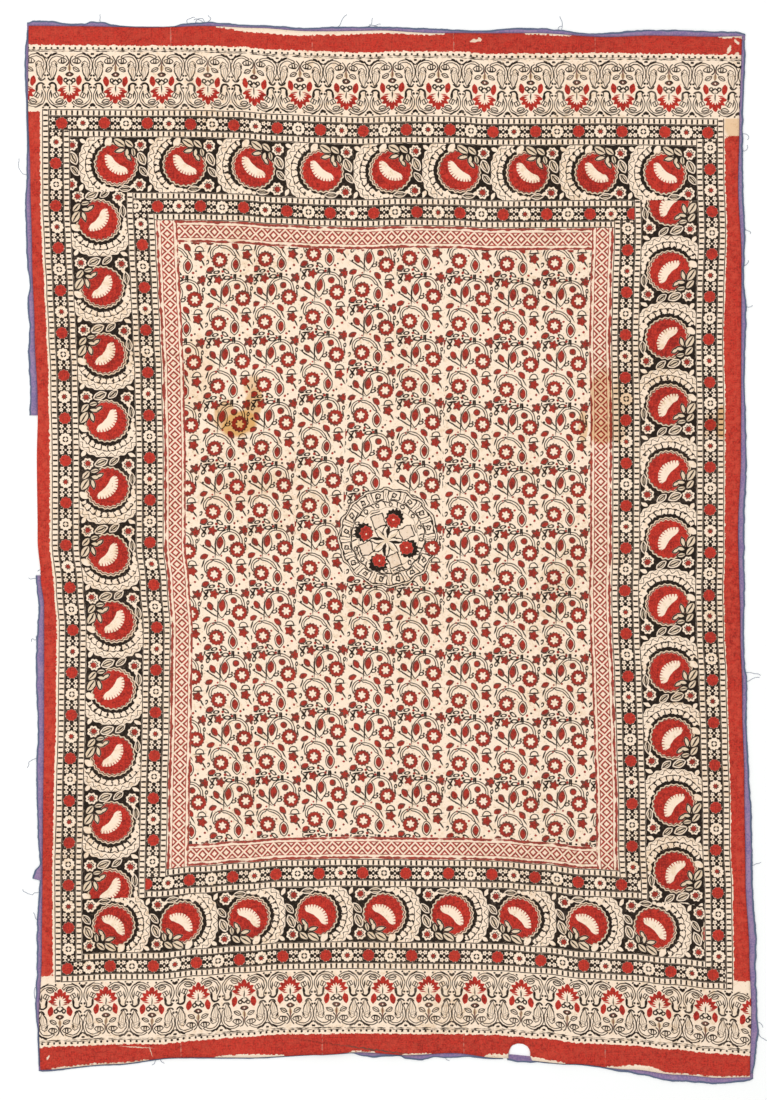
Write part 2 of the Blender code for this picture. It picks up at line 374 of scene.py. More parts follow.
def blockPlace(name, side, x, y):
    # where a point lies in its block's own steps: u goes round the cloth, v outwards
    if name == "field":
        u = (x - fieldRosette(side, y)) / step + side * field["width"]
        v = y / step - field["top"] + field["drops"][side]
        slipped, above, slip = field["slipped"]
        if side == slipped and y > above:
            v += slip
        return u, v * field["height"] / field["pitch"]
    inward = inwardSteps(side, x, y)
    if name == "selvedge":
        return (y / step, -inward)
    run = "outerGuard" if name in guardRings else "innerGuard" if name in innerRings else name
    along = (y if isSide(side) else x) / step
    u = clockwise[side] * (along - runs[run][side].start) * pitches[run] / runs[run][side].pitch
    if run in ("outerGuard", "ends"):
        return u, -inward
    if run == "innerGuard":
        return u, (84.0 if isSide(side) else 82.5) - inward
    if run == "diamonds":
        return u, (109.5 if isSide(side) else 107.5) - inward
    last = rings[3].side if isSide(side) else rings[3].end
    return u, 26.8 - (inward - 14.0) * 54.1 / (last - 14.0)


def redDepth(name, side, x, y):
    # steps inside the plain red band; less than 0 outside it
    out = -inwardSteps(side, x, y) if name in ("ends", "selvedge") else 0.0
    if name == "ends":
        past = outwards(side) * (edgeLine(side, x) - y) / step
        return min(out - redBand["endStart"], past - readLine(redBand["gaps"][side], x / step))
    if name == "selvedge":
        above = (guardLine("top", x) - y) / step + redBand["cornerTop"][side]
        below = (y - guardLine("bottom", x)) / step + redBand["cornerBottom"][side]
        return min(out - redBand["sideStart"][side], above, below)
    return -50.0


print("charts of the printing blocks")

# A mark of a block. Its outline is `line` thick round a heart of another ink. An arc is a
# band of half width `wide` on a circle of radius `long`, for `span` degrees either side of
# its turn. A mark with lobes has its rim waved in and out by `depth`. A moon is a disc less one
# of radius `wide` that lies `depth` behind it, and also ends at `span`.
Mark = namedtuple(
    "Mark", "ink kind line heart x y turn long wide span lobes depth", defaults=(0, 1, 1, 0, 0, 0)
)
rowsGive = {  # what each kind of mark is told, in steps and degrees
    "disc": "x y long",
    "leaf": "x y turn long wide",
    "oval": "x y turn long wide",
    "box": "x y turn long wide",
    "flower": "x y long lobes depth turn",
    "ring": "x y long wide lobes depth turn",
    "arc": "x y turn long wide span lobes depth",
    "moon": "x y turn long wide span depth",
}


def marks(ink, kind, *rows, heart=""):
    # marks in one ink; with a heart, each row ends with the thickness of its outline
    made = []
    for row in rows:
        line = row[-1] if heart else 0
        values = dict(zip(rowsGive[kind].split(), row[:-1] if heart else row))
        made.append(Mark(ink, kind, line, heart, **values))
    return made


inks = {  # amounts of black, red and tan dye
    "cream": (0, 0, 0),
    "black": (1, 0, 0),
    "grey": (0.6, 0, 0),
    "red": (0, 1, 0),
    "darkRed": (0.3, 1, 0),
    "madder": (0.24, 1, 0),
    "umber": (0.76, 0.8, 0),
    "rose": (0.2, 0.98, 0),
    "crimson": (0.28, 0.95, 0),
    "blush": (0.07, 0.04, 0.06),
    "scarlet": (0, 1, 0.25),  # red over tan is fresher
    "brick": (0, 1, 0.5),
    "brickSide": (0, 1, 0.7),
    "fadedRed": (0, 0.8, 0.3),
    "petal": (0, 0.05, 0),
    "straw": (0, 0, 0.12),
    "tan": (0, 0, 1),
    "sand": (0, 0, 0.45),
}

charts = {
    "field": (
        # stems of two fine lines
        *marks("black", "arc", (-7.7, 7.8, 85, 11.4, 1.4, 96, 0.65),
            (-23, -25.5, 57.5, 14.6, 1.4, 38, 0.65), (-24.5, -18.9, 147.5, 7.9, 1.4, 56, 0.65),
            heart="cream"),
        *marks("black", "leaf", (-17.3, 5, 85, 10.8, 5.1, 0.65), (-7.9, -29.4, 90, 7.8, 4.6, 0.65),
            heart="cream"),
        *marks("black", "oval", (-16, 20.6, 5, 4.1, 1.9, 0.8), (-17.4, -36.2, -40, 3.9, 1.8, 0.75),
            (-11.9, -0.6, 20, 2.8, 1.8, 0.75), (-34, 14.9, 70, 2.6, 1.8, 0.75),
            (-36.6, -27, 60, 2.6, 1.6, 0.75), (-27, -37, 12, 3.2, 1.7, 0.75), (8.4, 9.9, 80, 2.2, 1.4, 0.7),
            heart="cream"),
        *marks("black", "disc", (3.4, -13.8, 4.3, 0.75), heart="cream"),
        *marks("cream", "oval", (3.2, -17.6, 0, 6, 3.6)),
        *marks("black", "oval", (3.4, -14.6, 4, 4.3, 0.55), (-7.8, 22, 92, 3.4, 0.75),
            (-9.4, 22.4, 88, 3, 0.6), (-33.5, 18.4, 130, 3.4, 0.75), (-30.4, 22.6, 10, 3.6, 0.75),
            (-37.2, 22, 70, 2.6, 0.7), (-21.9, 1.6, 88, 7.4, 0.5), (-28.6, -0.4, -32, 7.6, 0.5),
            (-25, 3, -48, 3.2, 0.45), (-32.4, 19, 60, 3.2, 0.7), (-6.4, -17, -60, 3.4, 0.45),
            (-34.6, -37.6, -20, 3.4, 0.8), (-31.6, -36.4, 40, 2.6, 0.7), (-34.6, -14, 70, 3.2, 0.6),
            (7, -26, 120, 3, 0.6), (8, 4, 100, 2.6, 0.55)),
        *marks("black", "disc", (-20.4, 23.2, 1.1), (-12, 24, 0.9), (-34, 4.2, 0.9), (-10, 2.6, 0.8),
            (-2.8, 22.4, 0.9), (0.6, -34.6, 0.8)),
        # each red motif prints over a slightly larger black outline
        *marks("umber", "flower", (0, 0, 8, 15, 0.5), (-24, -25, 7.8, 15, 0.5), (-25, 18.8, 4.2, 5, 1),
            (6.6, 19.4, 4.6, 5, 1.2), (3, -20, 4.5, 5, 0.8)),
        *marks("umber", "leaf", (-17.4, 7.2, 82, 6.5, 3.4), (-7.9, -29.4, 90, 5.4, 3.1),
            (-8.6, -10.8, -50, 4.6, 2.9), (-29.4, 6.2, 118, 4.7, 3.1), (-33.2, -7, 25, 4.4, 2.7),
            (-33.4, -34.6, 28, 4.2, 2.8)),
        *marks("umber", "disc", (-5.8, 12, 3.3)),
        *marks("madder", "ring", (0, 0, 5.3, 1.75, 12, 0.3), (-24, -25, 5.2, 1.7, 12, 0.3)),
        *marks("madder", "leaf", (-17.4, 7.2, 82, 5.9, 2.8), (-7.9, -29.4, 90, 4.8, 2.5),
            (-8.6, -10.8, -50, 4, 2.3), (-29.4, 6.2, 118, 3.9, 2.3), (-33.2, -7, 25, 3.6, 2),
            (-33.4, -34.6, 28, 3.4, 2.1)),
        *marks("madder", "disc", (-5.8, 12, 2.5), (-11.9, 21.9, 1.3), (-24.5, -7.6, 0.9), (-20.6, -37, 1.3),
            (-2.6, -36.4, 1.2), (-14.8, -20, 1.1), (-16.4, -6.4, 1), (5.2, -30.4, 1.2), (-26.6, -10.4, 0.9)),
        *marks("madder", "flower", (-25, 18.8, 3.3, 5, 0.8), (3, -20, 3.6, 5, 0.6),
            (7.2, 19.6, 2.9, 5, 1, 30)),
        *marks("cream", "flower", (0, 0, 3.5, 6, -0.9), (-24, -25, 3.4, 6, -0.85, 20)),
    ),
    "mainBorder": (
        *marks("cream", "leaf", (-7.6, 22.8, 52, 5, 3.1), (-32.9, 23, -30, 3.5, 2),
            (-34.7, -23.4, 60, 4, 2), (25.6, 6.2, -64, 7.4, 4.1), (27.2, -6.6, -50, 6.3, 3.3),
            (9.2, -23.8, 4, 6.9, 3.1), (16, -21.4, 40, 3.4, 1.6)),
        *marks("cream", "flower", (-12.6, -23, 3.6, 5, 0.7)),
        *marks("cream", "oval", (-4.6, -24.6, 0, 3.6, 2), (0.8, -25.4, 0, 2, 1.6)),
        *marks("black", "leaf", (25.6, 6.2, -64, 5.6, 2.8, 0.45), (27.2, -6.6, -50, 4.7, 2.2, 0.45),
            (9.2, -23.8, 4, 5.2, 2, 0.4), heart="sand"),
        *marks("sand", "flower", (0, 0, 21.5, 25, 0.5)),
        *marks("umber", "ring", (0, 0, 19.8, 0.45, 25, 0.6)),
        *marks("red", "flower", (0, 0, 19.1, 25, 0.5)),
        *marks("black", "disc", (16.6, 17.8, 8)),
        *marks("cream", "moon", (5.3, 6.4, 231.5, 16.6, 21.5, 66, 15.1)),
        *marks("black", "leaf", (3.4, 21.8, -32, 7.6, 4.4, 0.95), (13, 20.8, -40, 6.2, 3.8, 0.95),
            (4, 14, 14, 5.8, 2.6, 0.95), (10.8, 12, 80, 4.8, 2.6, 0.95), (17.2, 12.4, 100, 5.2, 3, 0.95),
            (12.6, 7.4, -58, 4.4, 2.4, 0.95), heart="sand"),
        *marks("cream", "flower", (24.4, 19.2, 5.6, 8, 0.5), (23.4, -20, 5.9, 8, 0.5)),
        *marks("black", "ring", (24.4, 19.2, 3.1, 0.35, 8, 0.6), (23.4, -20, 3.4, 0.35, 8, 0.6)),
        *marks("darkRed", "flower", (24.4, 19.2, 2.7, 7, 0.3), (23.4, -20, 3, 7, 0.3)),
        *marks("black", "oval", (25.6, 6.2, -64, 4.6, 0.6), (3.4, 21.8, -32, 4.6, 0.55),
            (9.2, -23.8, 4, 4.4, 0.55), (27.2, -6.6, -50, 3.8, 0.55), (13, 20.8, -40, 3.4, 0.5),
            (17.2, 12.4, 100, 2.8, 0.4)),
    ),
    "crescent": (
        *marks("cream", "arc", (-1.2, 0, 186, 32.9, 3.8, 84, 26, 0.7)),
        *marks("black", "arc", (-1.2, 0, 186, 33.2, 0.25, 82, 26, 1.7)),
        *marks("grey", "arc", (-1.2, 0, 186, 35, 0.1, 80, 52, 0.5)),
    ),
    "cobble": (  # unrolled: the crescent's inner row of rough stones
        *marks("black", "box", (0, 0, 0, 3.2, 3, 0.6), heart="cream"),
    ),
    "feather": (  # unrolled: the cuts in the rim of the pale feather
        *marks("red", "oval", (0, 0.8, 90, 2.2, 0.5)),
    ),
    "ends": (  # one half of the motif; the other is its mirror image
        # upper paisley: a double line that turns down into a hatched body with a hook
        *marks("black", "arc", (12.4, 16.8, 50, 9.2, 1.4, 84, 0.65), (9.2, 14.6, -24, 12.4, 1.35, 30, 0.65),
            heart="cream"),
        *marks("black", "oval", (15.6, 27, -30, 2.8, 0.9)),
        *marks("black", "leaf", (16.4, 11.2, 99, 9.6, 3.4, 0.45), (15.2, 17.4, 12, 3.2, 2.6, 0.45),
            heart="straw"),
        *marks("grey", "oval", (17.8, 9, 96, 4.4, 0.2), (16, 9.6, 98, 3.4, 0.2), (16.4, 16.6, 30, 3, 0.2),
            (16.8, 14.4, 24, 2.6, 0.2)),
        *marks("black", "arc", (27.5, 13, 207, 14.5, 0.55, 13), (18.2, 3.8, 268, 3, 0.6, 80),
            (6.3, 20.2, 178, 5.6, 0.4, 62), (22.8, 27.6, 230, 4.2, 0.7, 40)),
        *marks("black", "disc", (21.7, 5.8, 0.95)),
        *marks("black", "oval", (13.2, 16.2, 60, 1.8, 0.55)),
        # lower paisley
        *marks("black", "arc", (11.2, -14.8, -48, 9.9, 1.35, 96, 0.65), (28.8, -7.2, 194, 9, 1.3, 22, 0.65),
            heart="cream"),
        *marks("black", "oval", (15.4, -24.8, 30, 3.6, 0.7)),
        *marks("straw", "leaf", (16.2, -7.2, 78, 4.6, 2.6)),
        *marks("black", "arc", (17.3, -5.8, 112, 3.9, 0.8, 82)),
        *marks("black", "oval", (13.4, -7.6, 84, 2.9, 1.15)),
        *marks("black", "disc", (21.5, -6.2, 0.95)),
        *marks("black", "box", (13.5, -14, -27, 2.6, 2.4, 0.6), heart="cream"),
        *marks("black", "leaf", (9.8, -20.2, -14, 4.2, 2.5, 0.7), heart="cream"),
        *marks("black", "oval", (13.5, -14, 63, 2, 0.4), (9.8, -20.4, -14, 2.4, 0.45),
            (18.2, -13.4, 80, 2.6, 0.5), (22.2, -23.6, 40, 2.2, 1.2)),
        # leaves beside the axis
        *marks("black", "leaf", (6.9, 20.2, -5, 4.9, 2.8, 0.7), (6.7, 11.8, -27, 4, 2.2, 0.65),
            heart="cream"),
        *marks("black", "oval", (5.6, 20, 86, 1.8, 0.45), (7.9, 19.8, 86, 1.6, 0.45),
            (7, 18.2, -4, 2.6, 0.6), (6.9, 11.7, -27, 2.2, 0.35), (1.7, 0.2, -42, 2.4, 0.6),
            (2.3, -2.6, 40, 1.9, 0.5), (0, -6.9, 90, 3.2, 0.5)),
        *marks("black", "leaf", (0, 6.9, 0, 4.2, 2.4)),
        *marks("black", "ring", (3.9, 0.9, 1.7, 0.5)),
        *marks("black", "disc", (22.4, 27.4, 0.9), (19.6, -26.4, 0.8), (4.2, -25.6, 0.8)),
        *marks("tan", "leaf", (0, 13, 90, 3.4, 1.9)),
        *marks("cream", "disc", (0, -10, 6.6)),
        *marks("umber", "oval", (0, 14, 90, 4.6, 0.5)),
        *marks("red", "arc", (0, -8.6, 270, 7.8, 2.7, 100, 13, 1.3)),
        *marks("red", "leaf", (0, -18.4, 90, 3.7, 2.6), (9.4, 0.4, 80, 5.4, 2.9)),
        *marks("red", "oval", (5.6, -6.2, -12, 3, 0.6)),
        *marks("umber", "leaf", (0, 6.6, 0, 2.9, 1.5)),
        *marks("cream", "disc", (0, 6.8, 0.8)),
        *marks("black", "oval", (0, -6.9, 90, 2.6, 0.45)),
    ),
}


def worked(tree, value, *steps):
    # sums on a number or a vector, one node for each: its operation, then its other inputs
    for operation, *others in steps:
        kind = "Math" if value.type == "VALUE" else "VectorMath"
        outputs = addNode(tree, kind, dict(enumerate((value, *others))), operation=operation)
        value = next(output for output in outputs if output.enabled)
    return value


def weighted(tree, base, *parts, clamped=False):
    # a base, and each source added to it by its weight
    for source, weight in parts:
        sockets = {0: source, 1: weight, 2: base}
        base = addNode(tree, "Math", sockets, operation="MULTIPLY_ADD")[0]
    base.node.use_clamp = clamped
    return base


def overlaid(tree, under, *layers):
    # each layer's colour laid over what is there, by its amount
    for amount, colour in layers:
        under = addNode(tree, "Mix", {0: amount, 6: under, 7: colour}, data_type="RGBA")[2]
    return under


def shapeDistance(tree, place, mark):
    # steps from the mark's outline, less than 0 inside it
    middle = (mark.x, mark.y, 0)
    if mark.kind == "disc":
        return worked(tree, place, ("DISTANCE", middle), ("SUBTRACT", mark.long))
    squeeze = mark.long / mark.wide if mark.kind == "oval" else 1
    turn = (0, 0, math.radians(mark.turn))
    sockets = {"Vector": place, "Location": middle, "Rotation": turn, "Scale": (squeeze, 1, 1)}
    local = addNode(tree, "Mapping", sockets, vector_type="TEXTURE")[0]
    if mark.kind == "leaf":  # where two circles overlap
        radius = (mark.long**2 + mark.wide**2) / (2 * mark.wide)
        centre = (0, mark.wide - radius, 0)
        return worked(tree, local, ("ABSOLUTE",), ("DISTANCE", centre), ("SUBTRACT", radius))
    if mark.kind == "box":
        corner = worked(tree, local, ("ABSOLUTE",), ("SUBTRACT", (mark.long, mark.wide, 0)))
        parts = addNode(tree, "SeparateXYZ", {0: corner})
        return worked(tree, parts[0], ("MAXIMUM", parts[1]))
    away = worked(tree, local, ("LENGTH",))
    if mark.kind == "oval":
        return worked(tree, away, ("SUBTRACT", mark.wide))
    if mark.kind == "moon":
        past = worked(tree, local, ("DISTANCE", (-mark.depth, 0, 0)), ("MULTIPLY_ADD", -1, mark.wide))
        span = math.radians(mark.span)
        parts = addNode(tree, "SeparateXYZ", {0: local})
        end = worked(tree, parts[1], ("ABSOLUTE",), ("MULTIPLY", math.cos(span)))
        end = weighted(tree, end, (parts[0], -math.sin(span)))
        limits = (("SMOOTH_MAX", past, 1.5), ("SMOOTH_MAX", end, 3.0))
        return worked(tree, away, ("SUBTRACT", mark.long), *limits)
    if mark.lobes:
        angle = addNode(tree, "TexGradient", {0: local}, gradient_type="RADIAL")["Fac"]
        wave = worked(tree, angle, ("MULTIPLY", mark.lobes * 2 * math.pi), ("COSINE",))
        away = weighted(tree, away, (wave, mark.depth))
    away = worked(tree, away, ("SUBTRACT", mark.long))
    if mark.kind == "flower":
        return away
    away = worked(tree, away, ("ABSOLUTE",), ("SUBTRACT", mark.wide))
    if mark.kind == "ring":
        return away
    limit = mark.long * math.cos(math.radians(mark.span))
    back = worked(tree, local, ("DOT_PRODUCT", (-1, 0, 0)), ("ADD", limit))
    return worked(tree, away, ("MAXIMUM", back))


inkSpread = {"black": 0.2, "grey": 0.15, "umber": 0.1}  # steps that a dye runs past its block
inkEdge = 2.4  # how sharply a dye ends, for each step
secondInks = ("red", "scarlet", "darkRed", "madder")  # printed from the second block


def layInk(tree, ink, distance, name, inset=0.0):
    # covers what is there with one ink, inside an outline
    reach = inkSpread.get(name, 0.0) - inset
    mask = weighted(tree, 0.5 + inkEdge * reach, (distance, -inkEdge), clamped=True)
    return addNode(tree, "Mix", {0: mask, 4: ink, 5: inks[name]}, data_type="VECTOR")[1]


def layChart(tree, ink, chart, place, redPlace=None):
    # prints a chart's marks in their order; neighbours in one ink are printed together
    joined = None
    for mark, after in zip(chart, (*chart[1:], None)):
        second = redPlace is not None and mark.ink in secondInks
        distance = shapeDistance(tree, redPlace if second else place, mark)
        if joined is not None:
            distance = worked(tree, joined, ("MINIMUM", distance))
        joined = distance
        if after is None or (after.ink, after.line, after.heart) != (mark.ink, mark.line, mark.heart):
            ink = layInk(tree, ink, joined, mark.ink)
            if mark.heart:
                ink = layInk(tree, ink, joined, mark.heart, mark.line + 0.1)
            joined = None
    return ink


def shifted(tree, place, chance, reach):
    # moved either way by chance, as a second block never falls exactly on the first
    return worked(
        tree, chance, ("SUBTRACT", (0.5, 0.5, 0.5)), ("MULTIPLY_ADD", (2 * reach, 2 * reach, 0), place)
    )


def blockUv(tree, wander=0.5):
    # the place in the block's steps, a little uneven as cut and pressed by hand
    uv = addNode(tree, "UVMap", uv_map="blockSteps")[0]
    sockets = {"Vector": uv, "Scale": 0.22, "Detail": 1.0}
    shake = addNode(tree, "TexNoise", sockets, noise_dimensions="2D")["Color"]
    return shifted(tree, uv, shake, wander)


def tileOf(tree, uv, low, size):
    # the place within one block, and a chance colour of that block
    high = (low[0] + size[0], low[1] + size[1], 1)
    place = worked(tree, uv, ("WRAP", high, (*low, -1)))
    count = ("MULTIPLY_ADD", (1 / size[0], 1 / size[1], 0), (0.5, 0.5, 0))
    number = worked(tree, uv, ("SUBTRACT", place), count, ("FLOOR",))
    chance = addNode(tree, "TexWhiteNoise", {"Vector": number}, noise_dimensions="3D")["Color"]
    return place, chance


def spotSteps(tree, scale=1.0, reach=0.0):
    # steps from the cloth's middle, moved either way by a noise to make rough outlines
    spot = addNode(tree, "TexCoord")["Object"]
    spot = worked(tree, spot, ("MULTIPLY", (1 / (step * mm), 1 / (step * mm), 0)))
    if reach == 0:
        return spot
    shake = addNode(tree, "TexNoise", {"Vector": spot, "Scale": scale, "Detail": 3.0})["Color"]
    return shifted(tree, spot, shake, reach)


def dried(tree, uv, ink, chance, least):
    # some blocks held little black, down to the least share, and none was pressed evenly
    sockets = {"Vector": uv, "Scale": 0.07, "Detail": 2.0}
    press = addNode(tree, "TexNoise", sockets, noise_dimensions="2D")["Fac"]
    full = weighted(tree, addNode(tree, "SeparateXYZ", {0: chance})[2], (press, 2.6))
    full = addNode(tree, "MapRange", {0: full, 1: 1.0, 2: 2.1, 3: least, 4: 1.0})[0]
    strength = addNode(tree, "CombineXYZ", {0: full, 1: 1.0, 2: 1.0})[0]
    return worked(tree, ink, ("MULTIPLY", strength))


def unrolled(tree, place, middle, count, radius, turn=0.0, span=180.0):
    # a ring cut into equal lengths and laid straight: u along it, v out from its middle line
    turn = (0, 0, math.radians(turn))
    sockets = {"Vector": place, "Location": (*middle, 0), "Rotation": turn}
    local = addNode(tree, "Mapping", sockets, vector_type="TEXTURE")[0]
    angle = addNode(tree, "TexGradient", {0: local}, gradient_type="RADIAL")["Fac"]
    pitch = 2 * math.pi * radius / count
    along = worked(tree, angle, ("MULTIPLY", pitch * count), ("WRAP", -pitch / 2, pitch / 2))
    out = worked(tree, local, ("LENGTH",), ("SUBTRACT", radius))
    if span < 180:  # nothing past the span
        past = worked(tree, angle, ("SUBTRACT", 0.5), ("ABSOLUTE",), ("GREATER_THAN", span / 360))
        out = weighted(tree, out, (past, 50.0))
    return addNode(tree, "CombineXYZ", {0: along, 1: out})[0]


print("prints on the cotton")

cotton = {
    "ground": "F6E0C8",
    "groundAged": "DFC09C",
    "red": "C23628",
    "redDeep": "862019",
    "redOverTan": "D14C39",
    "black": "1E150D",
    "blackWorn": "523C2D",
    "tan": "C6AC84",
    "stain": "DDBA82",
    "backShows": 0.55,  # how much of the print comes through to the back
    "roughness": 0.92,
}
dyes = {name: toLinear(value) for name, value in cotton.items() if isinstance(value, str)}
windows = {  # what a block repeats: its lower left corner and its size, in steps
    "guard": ((-10.8, -40), (86.4, 80)),
    "flower": ((-10.8, -40), (21.6, 80)),  # one of the guard's four
    "ladder": ((-2.7, -40), (5.4, 80)),
    "main": ((-36.5, -40), (68, 80)),
    "diamond": ((-5.9, -40), (11.8, 80)),
    "ends": ((-23.05, -90), (46.1, 200)),
    "dots": ((-2.95, -90), (5.9, 200)),  # of the row beyond the ends' motifs
    "field": ((field["left"], field["bottom"]), (field["width"], field["height"])),
}
ladder = {  # steps
    "middle": 10.4,  # from the guard's middle line
    "bar": (0.72, 2.1, 0),  # half its width and length
    "rail": 0.95,  # from the ladder's middle line
    "railHalf": 0.28,
    "ground": 6.7,  # half the width of the black that carries the flowers
}
guardCharts = {
    "sprigs": (
        *marks("cream", "flower", (8.4, 3.6, 1.95, 5, 0.4)),
        *marks("cream", "disc", (10.8, 0, 0.9)),
        *marks("grey", "disc", (8.5, 3.6, 0.55)),
    ),
    "rims": marks("cream", "flower", (0, 0, 6.05, 11, 0.4)),
    "flowers": (
        *marks("black", "flower", (21.6, 0, 6.1, 17, 0.5), (64.8, 0, 6.1, 17, 0.5)),
        *marks("scarlet", "flower", (21.6, 0, 5.8, 9, 0.3), (64.8, 0, 5.8, 9, 0.3)),
        *marks("black", "flower", (0, 0, 2.5, 8, 0.5)),
        *marks("darkRed", "disc", (0, 0, 2.1)),
        *marks("black", "ring", (43.2, 0, 2.3, 0.55, 4, 0.2)),
        *marks("cream", "box", (43.2, 0, 0, 3.2, 0.3), (43.2, 0, 0, 0.3, 3.2)),
    ),
}

def guardInk(tree):
    uv = blockUv(tree, 0.35)
    # the ladder on both sides: bars between two rails
    bars = worked(tree, tileOf(tree, uv, *windows["ladder"])[0], ("ABSOLUTE",))
    height = addNode(tree, "SeparateXYZ", {0: bars})[1]
    middle = (0, ladder["middle"], 0)
    bars = worked(tree, bars, ("SUBTRACT", middle), ("ABSOLUTE",), ("SUBTRACT", ladder["bar"]))
    parts = addNode(tree, "SeparateXYZ", {0: bars})
    rail, half = ladder["rail"], ladder["railHalf"]
    rails = worked(tree, parts[1], ("SUBTRACT", rail), ("ABSOLUTE",), ("SUBTRACT", half))
    ground = worked(tree, height, ("SUBTRACT", ladder["ground"]))
    dark = worked(tree, parts[0], ("MAXIMUM", parts[1]), ("MINIMUM", rails), ("MINIMUM", ground))
    ink = layInk(tree, inks["cream"], dark, "black")
    # the small flowers in the gaps, the pale rims, and the four flowers of a block
    place = tileOf(tree, uv, *windows["flower"])[0]
    ink = layChart(tree, ink, guardCharts["sprigs"], worked(tree, place, ("ABSOLUTE",)))
    ink = layChart(tree, ink, guardCharts["rims"], place)
    place, chance = tileOf(tree, uv, *windows["guard"])
    ink = layChart(tree, ink, guardCharts["flowers"], place, shifted(tree, place, chance, 0.5))
    return dried(tree, uv, ink, chance, 0.92)


pomegranate = {  # steps and degrees, about the middle of the red disc
    "stones": ((-1.2, 0), 26, 26.3, 188, 70),  # middle, count, radius, turn, span
    "feather": ((5.3, 6.4), 34, 15.4, 231.5, 66),
    "rough": 1.5,  # how far the stones stray
}


def mainInk(tree):
    uv = blockUv(tree)
    place, chance = tileOf(tree, uv, *windows["main"])
    ink = layChart(tree, inks["black"], charts["crescent"], place)
    sockets = {"Vector": uv, "Scale": 0.36, "Detail": 1.0}
    rough = addNode(tree, "TexNoise", sockets, noise_dimensions="2D")["Color"]
    stones = unrolled(tree, shifted(tree, place, rough, pomegranate["rough"]), *pomegranate["stones"])
    ink = layChart(tree, ink, charts["cobble"], stones)
    ink = layChart(tree, ink, charts["mainBorder"], place, shifted(tree, place, chance, 0.7))
    ink = layChart(tree, ink, charts["feather"], unrolled(tree, place, *pomegranate["feather"]))
    return dried(tree, uv, ink, chance, 0.93)


lattice = {  # steps, but for the shares of the way from a diamond's middle to its edge
    "half": (5.9, 6.2),
    "lines": ((0.62, 0.76), (1.37, 0.76)),  # share, half width
    "slope": 4.2,  # steps for each share
    "corner": 1.24,  # share past which the red fills the corners
    "rim": 5.7,
    "end": 6.6,
    "line": 9.8,  # the broken line beside it
    "lineHalf": 3.1,  # before the breaks take from it
    "broken": 4.0,
}


def diamondInk(tree):
    uv = blockUv(tree, 0.35)
    wide, tall = lattice["half"]
    folded = worked(tree, tileOf(tree, uv, *windows["diamond"])[0], ("ABSOLUTE",))
    reach = worked(tree, folded, ("DOT_PRODUCT", (1 / wide, 1 / tall, 0)))
    high = addNode(tree, "SeparateXYZ", {0: folded})[1]
    corner = worked(tree, reach, ("MULTIPLY_ADD", -1, lattice["corner"]))
    bands = worked(tree, high, ("MULTIPLY_ADD", -1, lattice["rim"]), ("MAXIMUM", corner))
    for middle, half in lattice["lines"]:
        width = ("MULTIPLY_ADD", lattice["slope"], -half)
        line = worked(tree, reach, ("SUBTRACT", middle), ("ABSOLUTE",), width)
        bands = worked(tree, bands, ("MINIMUM", line))
    bands = worked(tree, bands, ("MAXIMUM", worked(tree, high, ("SUBTRACT", lattice["end"]))))
    ink = layInk(tree, inks["petal"], bands, "rose")
    sockets = {"Vector": uv, "Scale": 0.14, "Detail": 2.0}
    breaks = addNode(tree, "TexNoise", sockets, noise_dimensions="2D")["Fac"]
    line = worked(tree, high, ("SUBTRACT", lattice["line"]), ("ABSOLUTE",))
    line = worked(tree, weighted(tree, line, (breaks, lattice["broken"])), ("SUBTRACT", lattice["lineHalf"]))
    return layInk(tree, ink, line, "crimson")


# Where the red band is worn, and where shade along a pleat in the bottom band is painted: place, turn and
# half sizes, in steps from the middle.
bandWearAndPleatShade = (
    *marks("blush", "oval", (84, 511.4, 10, 5.2, 1.5), (337.5, 503, 70, 4.4, 1.8),
        (345, 510, -50, 3.6, 1.4), (345, 498, 20, 2.4, 1.2), (-343.4, -505, 60, 2.6, 1.1),
        (-255, -494.4, -4, 13, 0.45), (-240.6, -498.6, -72, 4.6, 0.4)),
    *marks("blush", "disc", (88, 512.4, 1.8)),
    # painted shade, not dye: a darker red line along the pleat in the bottom band, and a thin dark line of
    # painted shadow at its lower edge
    *marks("darkRed", "oval", (-44, -492.5, -7.6, 53, 0.7)),
    *marks("umber", "oval", (-16, -496.3, -7.6, 26, 0.45)),
)
foldLines = {"first": -215.4, "pitch": 141.3, "last": 3, "lean": 0.0102}  # steps


def redBandInk(tree, ink, name, rag):
    # the plain red, brushed or padded on up to a rough edge
    inside = addNode(tree, "UVMap", uv_map="edgeSteps")[0]
    sockets = {"Vector": inside, "Scale": 1.1, "Detail": 2.0}
    rough = addNode(tree, "TexNoise", sockets, noise_dimensions="2D")["Fac"]
    sockets = {"Vector": addNode(tree, "UVMap", uv_map="blockSteps")[0], "Scale": 0.3, "Detail": 2.5}
    ragged = addNode(tree, "TexNoise", sockets, noise_dimensions="2D")["Fac"]
    depth = addNode(tree, "SeparateXYZ", {0: inside})[0]
    depth = weighted(tree, depth, (ragged, rag), (rough, 1.5))
    outside = worked(tree, depth, ("MULTIPLY_ADD", -1, 0.75 + rag / 2))
    ink = layInk(tree, ink, outside, name)
    # thin lines where the cloth was folded, a few worn places, and painted shade along a pleat
    first, pitch, last, lean = foldLines.values()
    along = worked(tree, spotSteps(tree), ("DOT_PRODUCT", (1.0, lean, 0)))
    near = worked(
        tree, along, ("MULTIPLY_ADD", 1 / pitch, -first / pitch), ("ROUND",), ("MAXIMUM", 0.0),
        ("MINIMUM", last), ("MULTIPLY_ADD", pitch, first),
    )
    away = worked(tree, along, ("SUBTRACT", near), ("ABSOLUTE",))
    away = worked(tree, weighted(tree, away, (ragged, -2.4)), ("ADD", 0.9), ("MAXIMUM", outside))
    ink = layInk(tree, ink, away, "fadedRed")
    return layChart(tree, ink, bandWearAndPleatShade, spotSteps(tree, 0.3, 2.0))


